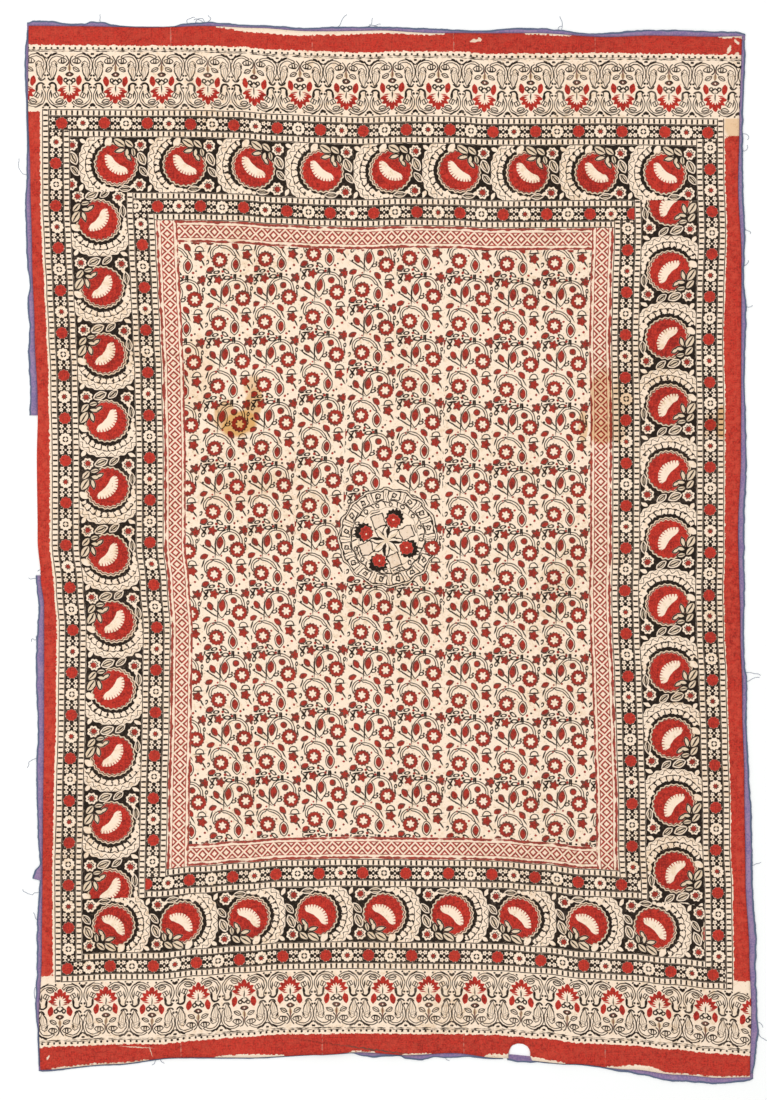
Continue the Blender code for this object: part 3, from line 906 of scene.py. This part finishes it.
def mirrored(tree, place):
    # the right half, and its mirror image on the left
    parts = addNode(tree, "SeparateXYZ", {0: place})
    half = worked(tree, parts[0], ("ABSOLUTE",))
    return addNode(tree, "CombineXYZ", {0: half, 1: parts[1]})[0]


endRows = {  # steps
    "motifs": 42,  # out from the guard's middle line
    "dots": 33,  # out from the motifs' middle line
    "dot": 0.95,
    "lines": 2.3,  # in from the dots
    "apart": 0.75,  # half the gap between the two lines
    "lineHalf": 1.1,  # before the breaks take from it
    "broken": 2.0,
}


def endInk(tree):
    uv = worked(tree, blockUv(tree, 0.6), ("SUBTRACT", (0, endRows["motifs"], 0)))
    place, chance = tileOf(tree, uv, *windows["ends"])
    half, redHalf = (mirrored(tree, at) for at in (place, shifted(tree, place, chance, 0.6)))
    ink = layChart(tree, inks["cream"], charts["ends"], half, redHalf)
    ink = dried(tree, uv, ink, chance, 0.86)
    # a row of dots beyond the motifs, and two broken lines below it
    dots = worked(tree, tileOf(tree, uv, *windows["dots"])[0], ("SUBTRACT", (0, endRows["dots"], 0)))
    high = addNode(tree, "SeparateXYZ", {0: dots})[1]
    apart = (("SUBTRACT", endRows["apart"]), ("ABSOLUTE",))
    lines = worked(tree, high, ("ADD", endRows["lines"]), ("ABSOLUTE",), *apart)
    sockets = {"Vector": uv, "Scale": 0.16, "Detail": 2.0}
    breaks = addNode(tree, "TexNoise", sockets, noise_dimensions="2D")["Fac"]
    lines = weighted(tree, lines, (breaks, endRows["broken"]))
    lines = worked(tree, lines, ("SUBTRACT", endRows["lineHalf"]))
    dark = worked(tree, dots, ("LENGTH",), ("SUBTRACT", endRows["dot"]), ("MINIMUM", lines))
    ink = layInk(tree, ink, dark, "black")
    return redBandInk(tree, ink, "brick", 3.6)


def selvedgeInk(tree):
    return redBandInk(tree, inks["cream"], "brickSide", 2.8)


# One round block stands near the cloth's middle, drawn by hand and not quite true.
medallion = {
    "middle": (-3.7, 14.9),  # steps
    "star": (-5.2, 11.9),
    "reach": 51.0,
    "count": 16,  # panels in its ring, and beads inside them
    "rows": (("panel", 42.0, 13.5), ("bead", 33.4, 18.5)),  # chart, radius, turn in degrees
}
medallionCharts = {
    "rim": (
        *marks("black", "flower", (0, 0, 49.6, 16, 1.0, 13.5, 0.7), heart="cream"),
        *marks("black", "ring", (0, 0, 47.2, 0.35, 16, 0.8, 13.5), (0, 0, 36.4, 0.4, 16, 0.5, 2)),
        *marks("grey", "ring", (0, 0, 30.2, 0.2, 8, 0.8, 13.5)),
    ),
    "panel": (  # unrolled
        *marks("black", "box", (0, 0.2, 0, 5.9, 4.6, 0.7), heart="cream"),
        *marks("black", "ring", (0, 0.2, 1.9, 0.5, 4, 0.35, 20)),
        *marks("black", "oval", (1.6, -1.8, -50, 1.6, 0.4), (8.2, 0.2, 90, 4, 0.3)),
    ),
    "bead": (
        *marks("black", "ring", (0, 0, 1.7, 0.35)),
        *marks("black", "oval", (5.2, 0.4, 70, 2, 0.4)),
    ),
    "quarter": (
        *marks("black", "box", (20, 8, 22, 6.6, 6.4, 0.85), heart="blush"),
        *marks("black", "box", (28.2, 11.2, 22, 0.3, 4.8)),
        *marks("grey", "box", (30, 12, 22, 0.2, 4.4)),
        *marks("black", "flower", (22.6, -8.4, 8.8, 14, 0.8)),
        *marks("black", "leaf", (8.4, 0, 0, 8.4, 3.2, 0.8), (6, 6, 45, 8.6, 3.2, 0.8),
            (6, -6, -45, 8.6, 3.2, 0.8), heart="cream"),
        *marks("black", "leaf", (9, -1.6, -8, 6.4, 1.5)),
        *marks("sand", "leaf", (7, 5.2, 39, 7.6, 1.2)),
        *marks("sand", "disc", (0, 0, 3)),
        *marks("scarlet", "flower", (20, -7.2, 6.6, 9, 0.5)),
        *marks("darkRed", "ring", (20, -7.2, 3.8, 0.5, 7, 0.5)),
        *marks("petal", "disc", (20, -7.2, 0.8)),
    ),
    "rosette": (  # of the field, printed over the rim
        *marks("umber", "flower", (44.4, -10.4, 7.9, 15, 0.5)),
        *marks("madder", "ring", (44.4, -10.4, 5.3, 1.75, 12, 0.3)),
        *marks("cream", "flower", (44.4, -10.4, 3.5, 6, -0.9)),
    ),
}

def medallionInk(tree):
    ink = fieldInk(tree)
    spot = spotSteps(tree, 0.12, 2.5)
    place = worked(tree, spot, ("SUBTRACT", (*medallion["middle"], 0)))
    ink = layChart(tree, ink, medallionCharts["rim"], place)
    for name, radius, turn in medallion["rows"]:
        row = unrolled(tree, place, (0, 0), medallion["count"], radius, turn)
        ink = layChart(tree, ink, medallionCharts[name], row)
    # four quarters, each turned back on the first
    quarter = worked(tree, spot, ("SUBTRACT", (*medallion["star"], 0)))
    angle = addNode(tree, "TexGradient", {0: quarter}, gradient_type="RADIAL")["Fac"]
    turns = worked(tree, angle, ("MULTIPLY_ADD", 4.0, -1.5), ("FLOOR",), ("MULTIPLY", -math.pi / 2))
    sockets = {"Vector": quarter, "Angle": turns}
    quarter = addNode(tree, "VectorRotate", sockets, rotation_type="Z_AXIS")[0]
    ink = layChart(tree, ink, medallionCharts["quarter"], quarter)
    return layChart(tree, ink, medallionCharts["rosette"], place)


def fieldInk(tree):
    uv = blockUv(tree)
    place, chance = tileOf(tree, uv, *windows["field"])
    ink = layChart(tree, inks["cream"], charts["field"], place, shifted(tree, place, chance, 0.8))
    return dried(tree, uv, ink, chance, 0.94)


# Spots that soaked in: place, turn, half sizes in steps, and how much they darken.
Stain = namedtuple("Stain", "x y turn long wide depth")
stains = {
    "field": (
        Stain(-152.5, 129, 20, 20, 13, 1.0),
        Stain(-168, 139, 70, 16, 9, 0.7),
        Stain(-138, 148, 80, 20, 9, 0.8),
        Stain(-140, 167, 60, 12, 8, 0.6),
        Stain(191.5, 126, 90, 17, 4.5, 0.6),
        Stain(-195, 176, 85, 44, 18, 0.18),
        Stain(-150, 62, 20, 44, 16, 0.15),
    ),
    "lattice": (
        Stain(212, 146, 90, 38, 18, 0.6),
        Stain(210, 120, 90, 12, 15, 0.7),
    ),
    "guard": (
        Stain(227, 140, 90, 34, 9, 0.4),
        Stain(234, 153, 0, 8, 8, 0.5),
        Stain(329.5, 129.5, 88, 17, 6, 0.8),
        Stain(317, 127, 80, 14, 5, 0.4),
    ),
    "corner": (
        Stain(343, 426, 90, 15, 11, 0.55),
    ),
}

def stainDepth(tree, spots):
    spot = spotSteps(tree, 0.1, 3.5)
    depth = 0.0
    for stain in spots:
        turn, size = (0, 0, math.radians(stain.turn)), (stain.long, stain.wide, 1)
        sockets = {"Vector": spot, "Location": (stain.x, stain.y, 0), "Rotation": turn, "Scale": size}
        local = addNode(tree, "Mapping", sockets, vector_type="TEXTURE")[0]
        sockets = {0: worked(tree, local, ("LENGTH",)), 1: 1.12, 2: 0.78, 3: 0.0, 4: stain.depth}
        mask = addNode(tree, "MapRange", sockets, interpolation_type="SMOOTHSTEP")[0]
        depth = worked(tree, mask, ("MAXIMUM", depth))
    return depth


def finishCloth(tree, shader, colour, height, relief, roughness, gloss):
    # matt, with the low relief of a thin weave
    bump = addNode(tree, "Bump", {"Strength": relief, "Distance": 0.0003, "Height": height})[0]
    tree.links.new(colour, shader.inputs["Base Color"])
    tree.links.new(bump, shader.inputs["Normal"])
    shader.inputs["Roughness"].default_value = roughness
    shader.inputs["Specular IOR Level"].default_value = gloss


def finishCotton(tree, shader, ink, spots):
    # dyes on the cotton: worn, faded and soaked in, with the weave
    spot = addNode(tree, "TexCoord")["Object"]
    # patches of 170 mm, mottling of 7 mm and a grain of 2 mm
    patch, mottle, grain = (
        addNode(tree, "TexNoise", {"Vector": spot, "Scale": scale, "Detail": detail})["Fac"]
        for scale, detail in ((6.0, 3.0), (150.0, 3.0), (480.0, 1.0))
    )
    yarns = []
    # yarns 1.4 mm apart, coarser than the real 0.5 mm, which is too fine to show
    for scale in ((60, 700, 1), (700, 60, 1)):
        drawn = addNode(tree, "Mapping", {"Vector": spot, "Scale": scale})[0]
        yarns.append(addNode(tree, "TexNoise", {"Vector": drawn, "Scale": 1.0, "Detail": 0.0})["Fac"])
    weave = worked(tree, yarns[0], ("ADD", yarns[1]))
    up = addNode(tree, "SeparateXYZ", {0: addNode(tree, "NewGeometry")["Normal"]})[2]
    shows = worked(tree, up, ("LESS_THAN", 0.0), ("MULTIPLY_ADD", cotton["backShows"] - 1, 1.0))
    amounts = addNode(tree, "SeparateXYZ", {0: ink})
    # the black is thin where the cloth's threads stand up
    worn = weighted(tree, 2.5, (grain, -2.6), clamped=True)
    strength = worked(tree, worn, ("MULTIPLY", amounts[0]))
    black = weighted(tree, 0.0, (amounts[0], weighted(tree, 0.85, (worn, 0.2))), clamped=True)
    speck = worked(tree, weighted(tree, -8.3, (grain, 12.0), clamped=True), ("MULTIPLY", 0.5))
    black = worked(tree, black, ("MAXIMUM", speck))
    black, red, tan = (worked(tree, shows, ("MULTIPLY", part)) for part in (black, *amounts[1:]))
    aged = weighted(tree, -2.7, (patch, 1.8), (mottle, 2.4), (grain, 1.2), clamped=True)
    deep = weighted(tree, -2.75, (patch, 1.0), (mottle, 1.5), (grain, 2.5), (weave, 0.7), clamped=True)
    fresh = weighted(tree, -1.55, (mottle, 4.0), clamped=True)
    fresh = worked(tree, fresh, ("MULTIPLY", amounts[2]))
    redDye = overlaid(tree, dyes["red"], (deep, dyes["redDeep"]), (fresh, dyes["redOverTan"]))
    blackDye = overlaid(tree, dyes["blackWorn"], (strength, dyes["black"]))
    layers = ((aged, dyes["groundAged"]), (tan, dyes["tan"]), (red, redDye), (black, blackDye))
    colour = overlaid(tree, dyes["ground"], *layers)
    if spots:
        sockets = {0: stainDepth(tree, spots), 6: colour, 7: dyes["stain"]}
        colour = addNode(tree, "Mix", sockets, data_type="RGBA", blend_type="MULTIPLY")[2]
    finishCloth(tree, shader, colour, weave, 0.35, cotton["roughness"], 0.25)


# Each print has its material, named for what it gives the eye, and may carry stains.
Finish = namedtuple("Finish", "name maker spots")
finishes = (
    Finish("block printed cotton, paisley ends", endInk, ()),  # rows of red and black motifs
    Finish("block printed cotton, red sides", selvedgeInk, stains["corner"]),  # plain red and a cream line
    Finish("block printed cotton, guard border", guardInk, stains["guard"]),  # small flowers
    Finish("block printed cotton, pomegranate border", mainInk, ()),  # red discs on black
    Finish("block printed cotton, diamond lattice", diamondInk, stains["lattice"]),  # red lines
    Finish("block printed cotton, vine field", fieldInk, stains["field"]),  # rosettes on stems
    Finish("block printed cotton, medallion", medallionInk, ()),  # a ring of panels and a star
)
printOf = {"ends": 0, "selvedge": 1, "mainBorder": 3, "diamonds": 4, "field": 5}


def makePrints():
    materials = []
    for finish in finishes:
        material, tree, shader = newMaterial(finish.name)
        finishCotton(tree, shader, finish.maker(tree), finish.spots)
        materials.append(material)
    return materials


print("cloth")


def cadSurface(name):
    # the part's own surface, to lay the finer one on
    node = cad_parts[name]
    node = node[0] if isinstance(node, (list, tuple)) else node
    shape = bmesh.new()
    shape.from_mesh(node.data)
    shape.transform(node.matrix_world)
    bmesh.ops.remove_doubles(shape, verts=shape.verts, dist=1e-6)
    tree = BVHTree.FromBMesh(shape)
    shape.free()
    return tree


def bottomHeight(surface, x, y):
    # height of the part's lower face at a place in mm
    spot = Vector((x * mm, y * mm, -0.02))
    hit = surface.ray_cast(spot, Vector((0, 0, 1)))[0]
    if hit is None:
        near = surface.find_nearest(Vector((x * mm, y * mm, 0.0)))[0]
        hit = surface.ray_cast(near * 0.9995 + Vector((0, 0, -0.02)), Vector((0, 0, 1)))[0] or near
    return hit.z / mm


def biteReach(x, y):
    # less than 1 inside the piece worn out of the lower edge
    middleX, middleY, halfWidth, halfHeight, turn = cloth["bite"]
    turn = math.radians(turn)
    dx, dy = x - middleX, y - middleY
    across = (dx * math.cos(turn) + dy * math.sin(turn)) / halfWidth
    along = (dy * math.cos(turn) - dx * math.sin(turn)) / halfHeight
    return (abs(across) ** 2.5 + abs(along) ** 2.5) ** 0.4


def edgeSteps(x, y):
    reach = min(
        x - edgeLine("left", y), edgeLine("right", y) - x, y - edgeLine("bottom", x), edgeLine("top", x) - y,
        (biteReach(x, y) - 1) * cloth["bite"][2],
    )
    return reach / step


def relief(x, y):
    # soft unevenness of a cloth that has been washed and folded, in mm
    spot = Vector((x, y, 0))
    slack = noise.noise(spot / 90) * 0.5 + noise.noise(spot / 31) * 0.18
    fine = noise.noise(Vector((x / 14, y / 17, 4))) * 0.08
    return max(0.06, 0.4 + slack + fine)


def addPiece(name, shape, materials):
    mesh = bpy.data.meshes.new(name)
    shape.to_mesh(mesh)
    shape.free()
    for material in materials:
        mesh.materials.append(material)
    piece = bpy.data.objects.new(name, mesh)
    bpy.context.scene.collection.objects.link(piece)
    print(name, len(mesh.polygons), "faces")
    return piece


def buildCloth(materials):
    surface = cadSurface("printed_cloth")
    across, along = len(columnLines) - 1, len(rowLines) - 1
    sheet = bmesh.new()
    bmesh.ops.create_grid(sheet, x_segments=across, y_segments=along, size=1.0)
    blockLayer = sheet.loops.layers.uv.new("blockSteps")
    edgeLayer = sheet.loops.layers.uv.new("edgeSteps")
    cells = []
    for face in sheet.faces:
        middle = face.calc_center_median()
        cells.append((int((middle.x + 1) / 2 * across), int((middle.y + 1) / 2 * along)))
    for vert in sheet.verts:
        column, row = round((vert.co.x + 1) / 2 * across), round((vert.co.y + 1) / 2 * along)
        x, y = latticePoint(column, row)
        vert.co = (x, y, 0)
    prints = [printAt(column, row) for column, row in cells]
    for face, (name, side) in zip(sheet.faces, prints):
        face.material_index = printOf.get(name, 2)
        middle = face.calc_center_median().xy / step - Vector(medallion["middle"])
        if name == "field" and middle.length < medallion["reach"] + 8:
            face.material_index = 6
        face.smooth = True
        for loop in face.loops:
            x, y = loop.vert.co.xy
            loop[blockLayer].uv = blockPlace(name, side, x, y)
            loop[edgeLayer].uv = (redDepth(name, side, x, y), edgeSteps(x, y))
    worn = [f for f in sheet.faces if biteReach(*f.calc_center_median().xy) < 1]
    bmesh.ops.delete(sheet, geom=worn, context="FACES")
    for vert in sheet.verts:
        x, y = vert.co.xy
        near = biteReach(x, y)
        if near < 1.35 and vert.is_boundary and y > edgeLine("bottom", x) + 0.5:
            middle = Vector(cloth["bite"][:2])
            x, y = middle + (Vector((x, y)) - middle) / near
        z = bottomHeight(surface, x, y) + relief(x, y)
        vert.co = (x * mm, y * mm, z * mm)
    piece = addPiece("printedCloth", sheet, materials)
    thicken = piece.modifiers.new("thickness", "SOLIDIFY")
    thicken.thickness = cloth["thickness"] * mm
    thicken.offset = 1.0
    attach(piece, body)
    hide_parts("printed_cloth")
    return piece


printedCloth = buildCloth(makePrints())

print("binding")

# A strip of the binding, and a table of how much of it shows outside the cloth.
Strip = namedtuple("Strip", "name side shows")
binding = {
    "inner": "9C82A2",
    "innerDeep": "7C6B96",
    "outer": "5B667F",
    "width": 14.0,  # mm, laid flat
    "tuck": 5.0,  # mm in under the cloth
    "flat": 1.2,  # mm thick there
    "roll": 2.1,  # mm high where it is folded over
    "spacing": 2.5,  # mm between the sections
    "hem": 2.5,  # mm of the darker outer edge
    "strips": (
        Strip("binding_top", "top", (
            (-510, 5.0), (-500, 8.0), (-478, 7.6), (-450, 4.2), (-428, 4.4), (-420, 7.4), (-404, 7.2),
            (-392, 4.0), (-370, 2.0), (-306, 1.8), (-292, 4.8), (-258, 6.0), (-190, 4.6), (-120, 5.4),
            (-80, 7.0), (-15, 6.2), (60, 7.2), (125, 4.4), (180, 8.0), (235, 7.0), (268, 5.0), (330, 8.2),
            (405, 9.0), (480, 7.4), (490, 5.6), (495, 3.6),
        )),
        Strip("binding_left_upper", "left", (
            (192, 12.0), (240, 10.6), (278, 10.6), (310, 7.8), (345, 9.6), (378, 5.0), (415, 8.4),
            (486, 8.6), (522, 6.0), (590, 3.4), (626, 3.2), (665, 5.2), (694, 5.8), (724, 3.4), (731, 2.6),
        )),
        Strip("binding_left_lower", "left", (
            (-718.3, 2.6), (-670, 3.0), (-634, 6.4), (-600, 7.0), (-530, 7.8), (-458, 5.0), (-457, 15.0),
            (-447, 11.6), (-436, 5.0), (-390, 7.8), (-320, 10.4), (-286, 10.6), (-250, 9.2), (-180, 11.8),
            (-145, 12.0), (-75, 8.4), (-44, 7.8), (-32, 6.6),
        )),
        Strip("binding_right", "right", (
            (-728.4, 4.8), (-716, 7.4), (-690, 9.2), (-672, 11.6), (-650, 9.0), (-600, 9.0), (-530, 11.4),
            (-460, 10.6), (-355, 10.4), (-320, 7.6), (-250, 6.4), (-180, 7.8), (-145, 5.6), (-108, 5.8),
            (-40, 8.4), (30, 9.8), (100, 9.2), (170, 7.8), (240, 5.6), (345, 7.8), (380, 4.2), (415, 5.0),
            (450, 7.4), (486, 8.0), (520, 7.6), (590, 5.6), (660, 5.8), (695, 6.0), (711, 5.0),
            (716.4, 4.4),
        )),
        Strip("binding_bottom_left", "bottom", (
            (-493.8, 1.8), (-488, 3.0), (-440, 2.2), (-100, 2.0), (-56, 2.6), (-40, 6.8), (-28, 8.4),
            (-14, 5.8), (12, 3.0), (20, 6.4), (42, 8.8), (60, 5.6), (84, 7.6), (112, 3.8), (156, 1.8),
        )),
        Strip("binding_bottom_right", "bottom", (
            (162, 3.4), (176, 4.6), (193, 4.2), (205, 2.0), (290, 2.2), (322, 4.4), (352, 7.6), (392, 10.2),
            (450, 9.4), (492, 7.0), (501, 5.2), (506, 2.6),
        )),
    ),
}


def bindingMaterial():
    # violet that faded, with the blue of the folded edge left
    material, tree, shader = newMaterial("faded violet cotton")
    uv = addNode(tree, "UVMap", uv_map="stripPlace")[0]
    spot = addNode(tree, "TexCoord")["Object"]
    patch, grain = (
        addNode(tree, "TexNoise", {"Vector": spot, "Scale": scale, "Detail": detail})["Fac"]
        for scale, detail in ((45.0, 3.0), (420.0, 2.0))
    )
    hem = weighted(tree, addNode(tree, "SeparateXYZ", {0: uv})[1], (patch, -4.4), (grain, -1.6))
    hem = worked(tree, hem, ("ADD", 3.0 - binding["hem"]))
    hem = weighted(tree, 0.5, (hem, -1.2), clamped=True)
    faded = weighted(tree, -2.1, (weighted(tree, patch, (grain, 1.6)), 2.0), clamped=True)
    inner, innerDeep, outer = (toLinear(binding[name]) for name in ("inner", "innerDeep", "outer"))
    colour = overlaid(tree, innerDeep, (faded, inner), (hem, outer))
    finishCloth(tree, shader, colour, grain, 0.3, 0.9, 0.2)
    return material


def stripSection(strip, at):
    # points round the section, outwards and up: flat under the cloth, folded over outside it
    shows = readLine(strip.shows, at)
    seed = len(strip.name)
    wave = noise.noise(Vector((at / 13, seed, 0))) + 0.5 * noise.noise(Vector((at / 4.5, seed, 5)))
    shows += min(1.2, 0.16 * shows) * wave
    swell = 0.3 * noise.noise(Vector((at / 8, seed, 9)))
    sink = 0.25 * noise.noise(Vector((at / 5, seed, 13)))
    tuck, flat, roll = binding["tuck"], binding["flat"], binding["roll"]
    start = min(0.5 * shows, 0.9)
    return shows, (
        (-tuck, 0.06), (0.0, 0.06), (shows - 0.5, 0.06), (shows - 0.1, 0.4), (shows, 1.0),
        (shows - 0.12, 1.6 + swell / 2), (shows - 0.5, roll + swell),
        ((start + shows) / 2, roll - 0.2 + sink), (start + 0.15, roll - 0.2), (start, flat), (-tuck, flat),
    )


def loft(shape, rings):
    # a closed tube through rings of vertices
    count = len(rings[0])
    for before, after in zip(rings, rings[1:]):
        for i in range(count):
            j = (i + 1) % count
            shape.faces.new((before[i], before[j], after[j], after[i]))
    for ring in (rings[0], rings[-1]):
        shape.faces.new(ring)
    bmesh.ops.recalc_face_normals(shape, faces=shape.faces)
    for face in shape.faces:
        face.smooth = True


def buildStrip(strip, material):
    sign = outwards(strip.side)
    limit = cloth["halfLength"] if isSide(strip.side) else cloth["halfWidth"]
    first, last = strip.shows[0][0], strip.shows[-1][0]
    count = math.ceil((last - first) / binding["spacing"])
    shape = bmesh.new()
    places = {}
    rings = []
    for i in range(count + 1):
        at = first + (last - first) * i / count
        line = edgeLine(strip.side, min(limit, max(-limit, at)))
        shows, section = stripSection(strip, at)
        rings.append([])
        for out, z in section:
            side = line + sign * out
            x, y = (side, at) if isSide(strip.side) else (at, side)
            vert = shape.verts.new((x * mm, y * mm, z * mm))
            places[vert] = (at, shows - out)
            rings[-1].append(vert)
    loft(shape, rings)
    layer = shape.loops.layers.uv.new("stripPlace")
    for face in shape.faces:
        for loop in face.loops:
            loop[layer].uv = places[loop.vert]
    piece = addPiece(strip.name + "Strip", shape, [material])
    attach(piece, body)
    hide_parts(strip.name)


def buildBinding():
    material = bindingMaterial()
    for strip in binding["strips"]:
        buildStrip(strip, material)


buildBinding()

print("loose threads")

# Threads pulled out of the bindings: for each its place along its side in steps, its heading in
# degrees, its length in mm, how far it turns over that length, and the swing of its waves.
Thread = namedtuple("Thread", "side at heading length turn swing")
threads = {
    "colour": "636D86",
    "radius": 0.3,  # mm
    "point": 1.5,  # mm between points
    "sides": 5,
    "pulled": {
        "top": (
            (-291, 110, 12, -60, 30), (-204, 95, 18, -120, 40), (-196, 60, 24, -150, 30),
            (-188, 120, 16, 100, 40), (-184, 40, 14, 80, 40), (-55, 50, 24, 10, 20), (-24, 20, 16, 60, 50),
            (-18, 70, 12, -90, 30), (-13, 150, 14, 50, 40), (170, 92, 21, 10, 15), (167, 110, 10, -150, 20),
            (342, 40, 14, -60, 30),
        ),
        "left": (
            (374, 130, 34, -50, 40), (-22, 120, 12, 50, 50), (-26, 185, 12, -40, 60),
            (-83, 180, 18, 50, 70), (-205, 220, 22, 30, 40), (-339, 200, 28, -60, 50),
            (-367, 150, 12, -60, 30), (-434, 200, 18, 120, 30),
        ),
        "bottom": ((-236, 255, 10, -60, 40), (-231, 300, 9, 50, 30), (54, 280, 8, 60, 30)),
        "right": (
            (418, 30, 16, -170, 20), (402, -20, 14, 160, 20), (323, 10, 12, -130, 30),
            (287, -10, 11, 140, 30), (246, -30, 10, 100, 30), (-120, -30, 22, 20, 30),
            (-129, 30, 20, -20, 30), (-313, 10, 14, 20, 30), (-470, -20, 12, -80, 30),
            (-480, -50, 18, 60, 30),
        ),
    },
}


def threadStart(thread):
    # the outer edge of the strip that it comes from, in mm
    at = thread.at * step
    out = 0.0
    for strip in binding["strips"]:
        if strip.side == thread.side and strip.shows[0][0] <= at <= strip.shows[-1][0]:
            out = stripSection(strip, at)[0] - 0.9
    place = edgeLine(thread.side, at) + outwards(thread.side) * out
    return (place, at) if isSide(thread.side) else (at, place)


def threadLine(thread, seed):
    # points of a thread that leaves the binding's top and settles on the floor
    count = max(4, round(thread.length / threads["point"]))
    x, y = threadStart(thread)
    points = []
    for i in range(count + 1):
        share = i / count
        swing = noise.noise(Vector((seed * 7.3, i * threads["point"] / 6, 0)))
        heading = math.radians(thread.heading + thread.turn * share + 2 * thread.swing * swing)
        drop = smooth(i * threads["point"] / 4.5)
        z = threads["radius"] + (binding["roll"] - 0.15) * (1 - drop) + 0.5 * drop * abs(swing)
        points.append(Vector((x, y, z)) * mm)
        x += math.cos(heading) * thread.length / count
        y += math.sin(heading) * thread.length / count
    return points


def buildThreads():
    shape = bmesh.new()
    sides = threads["sides"]
    pulled = [Thread(side, *row) for side, rows in threads["pulled"].items() for row in rows]
    for seed, thread in enumerate(pulled):
        points = threadLine(thread, seed)
        rings = []
        for i, point in enumerate(points):
            run = (points[min(i + 1, len(points) - 1)] - points[max(i - 1, 0)]).normalized()
            across = run.cross(Vector((0, 0, 1))).normalized()
            up = across.cross(run)
            rings.append([])
            for j in range(sides):
                angle = 2 * math.pi * j / sides
                reach = across * math.cos(angle) + up * math.sin(angle)
                rings[-1].append(shape.verts.new(point + reach * threads["radius"] * mm))
        loft(shape, rings)
    material, _, shader = newMaterial("stray cotton thread")  # thin grey-blue lines at the edges
    shader.inputs["Base Color"].default_value = toLinear(threads["colour"])
    shader.inputs["Roughness"].default_value = 0.9
    piece = addPiece("looseThreads", shape, [material])
    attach(piece, body)
    return piece


buildThreads()
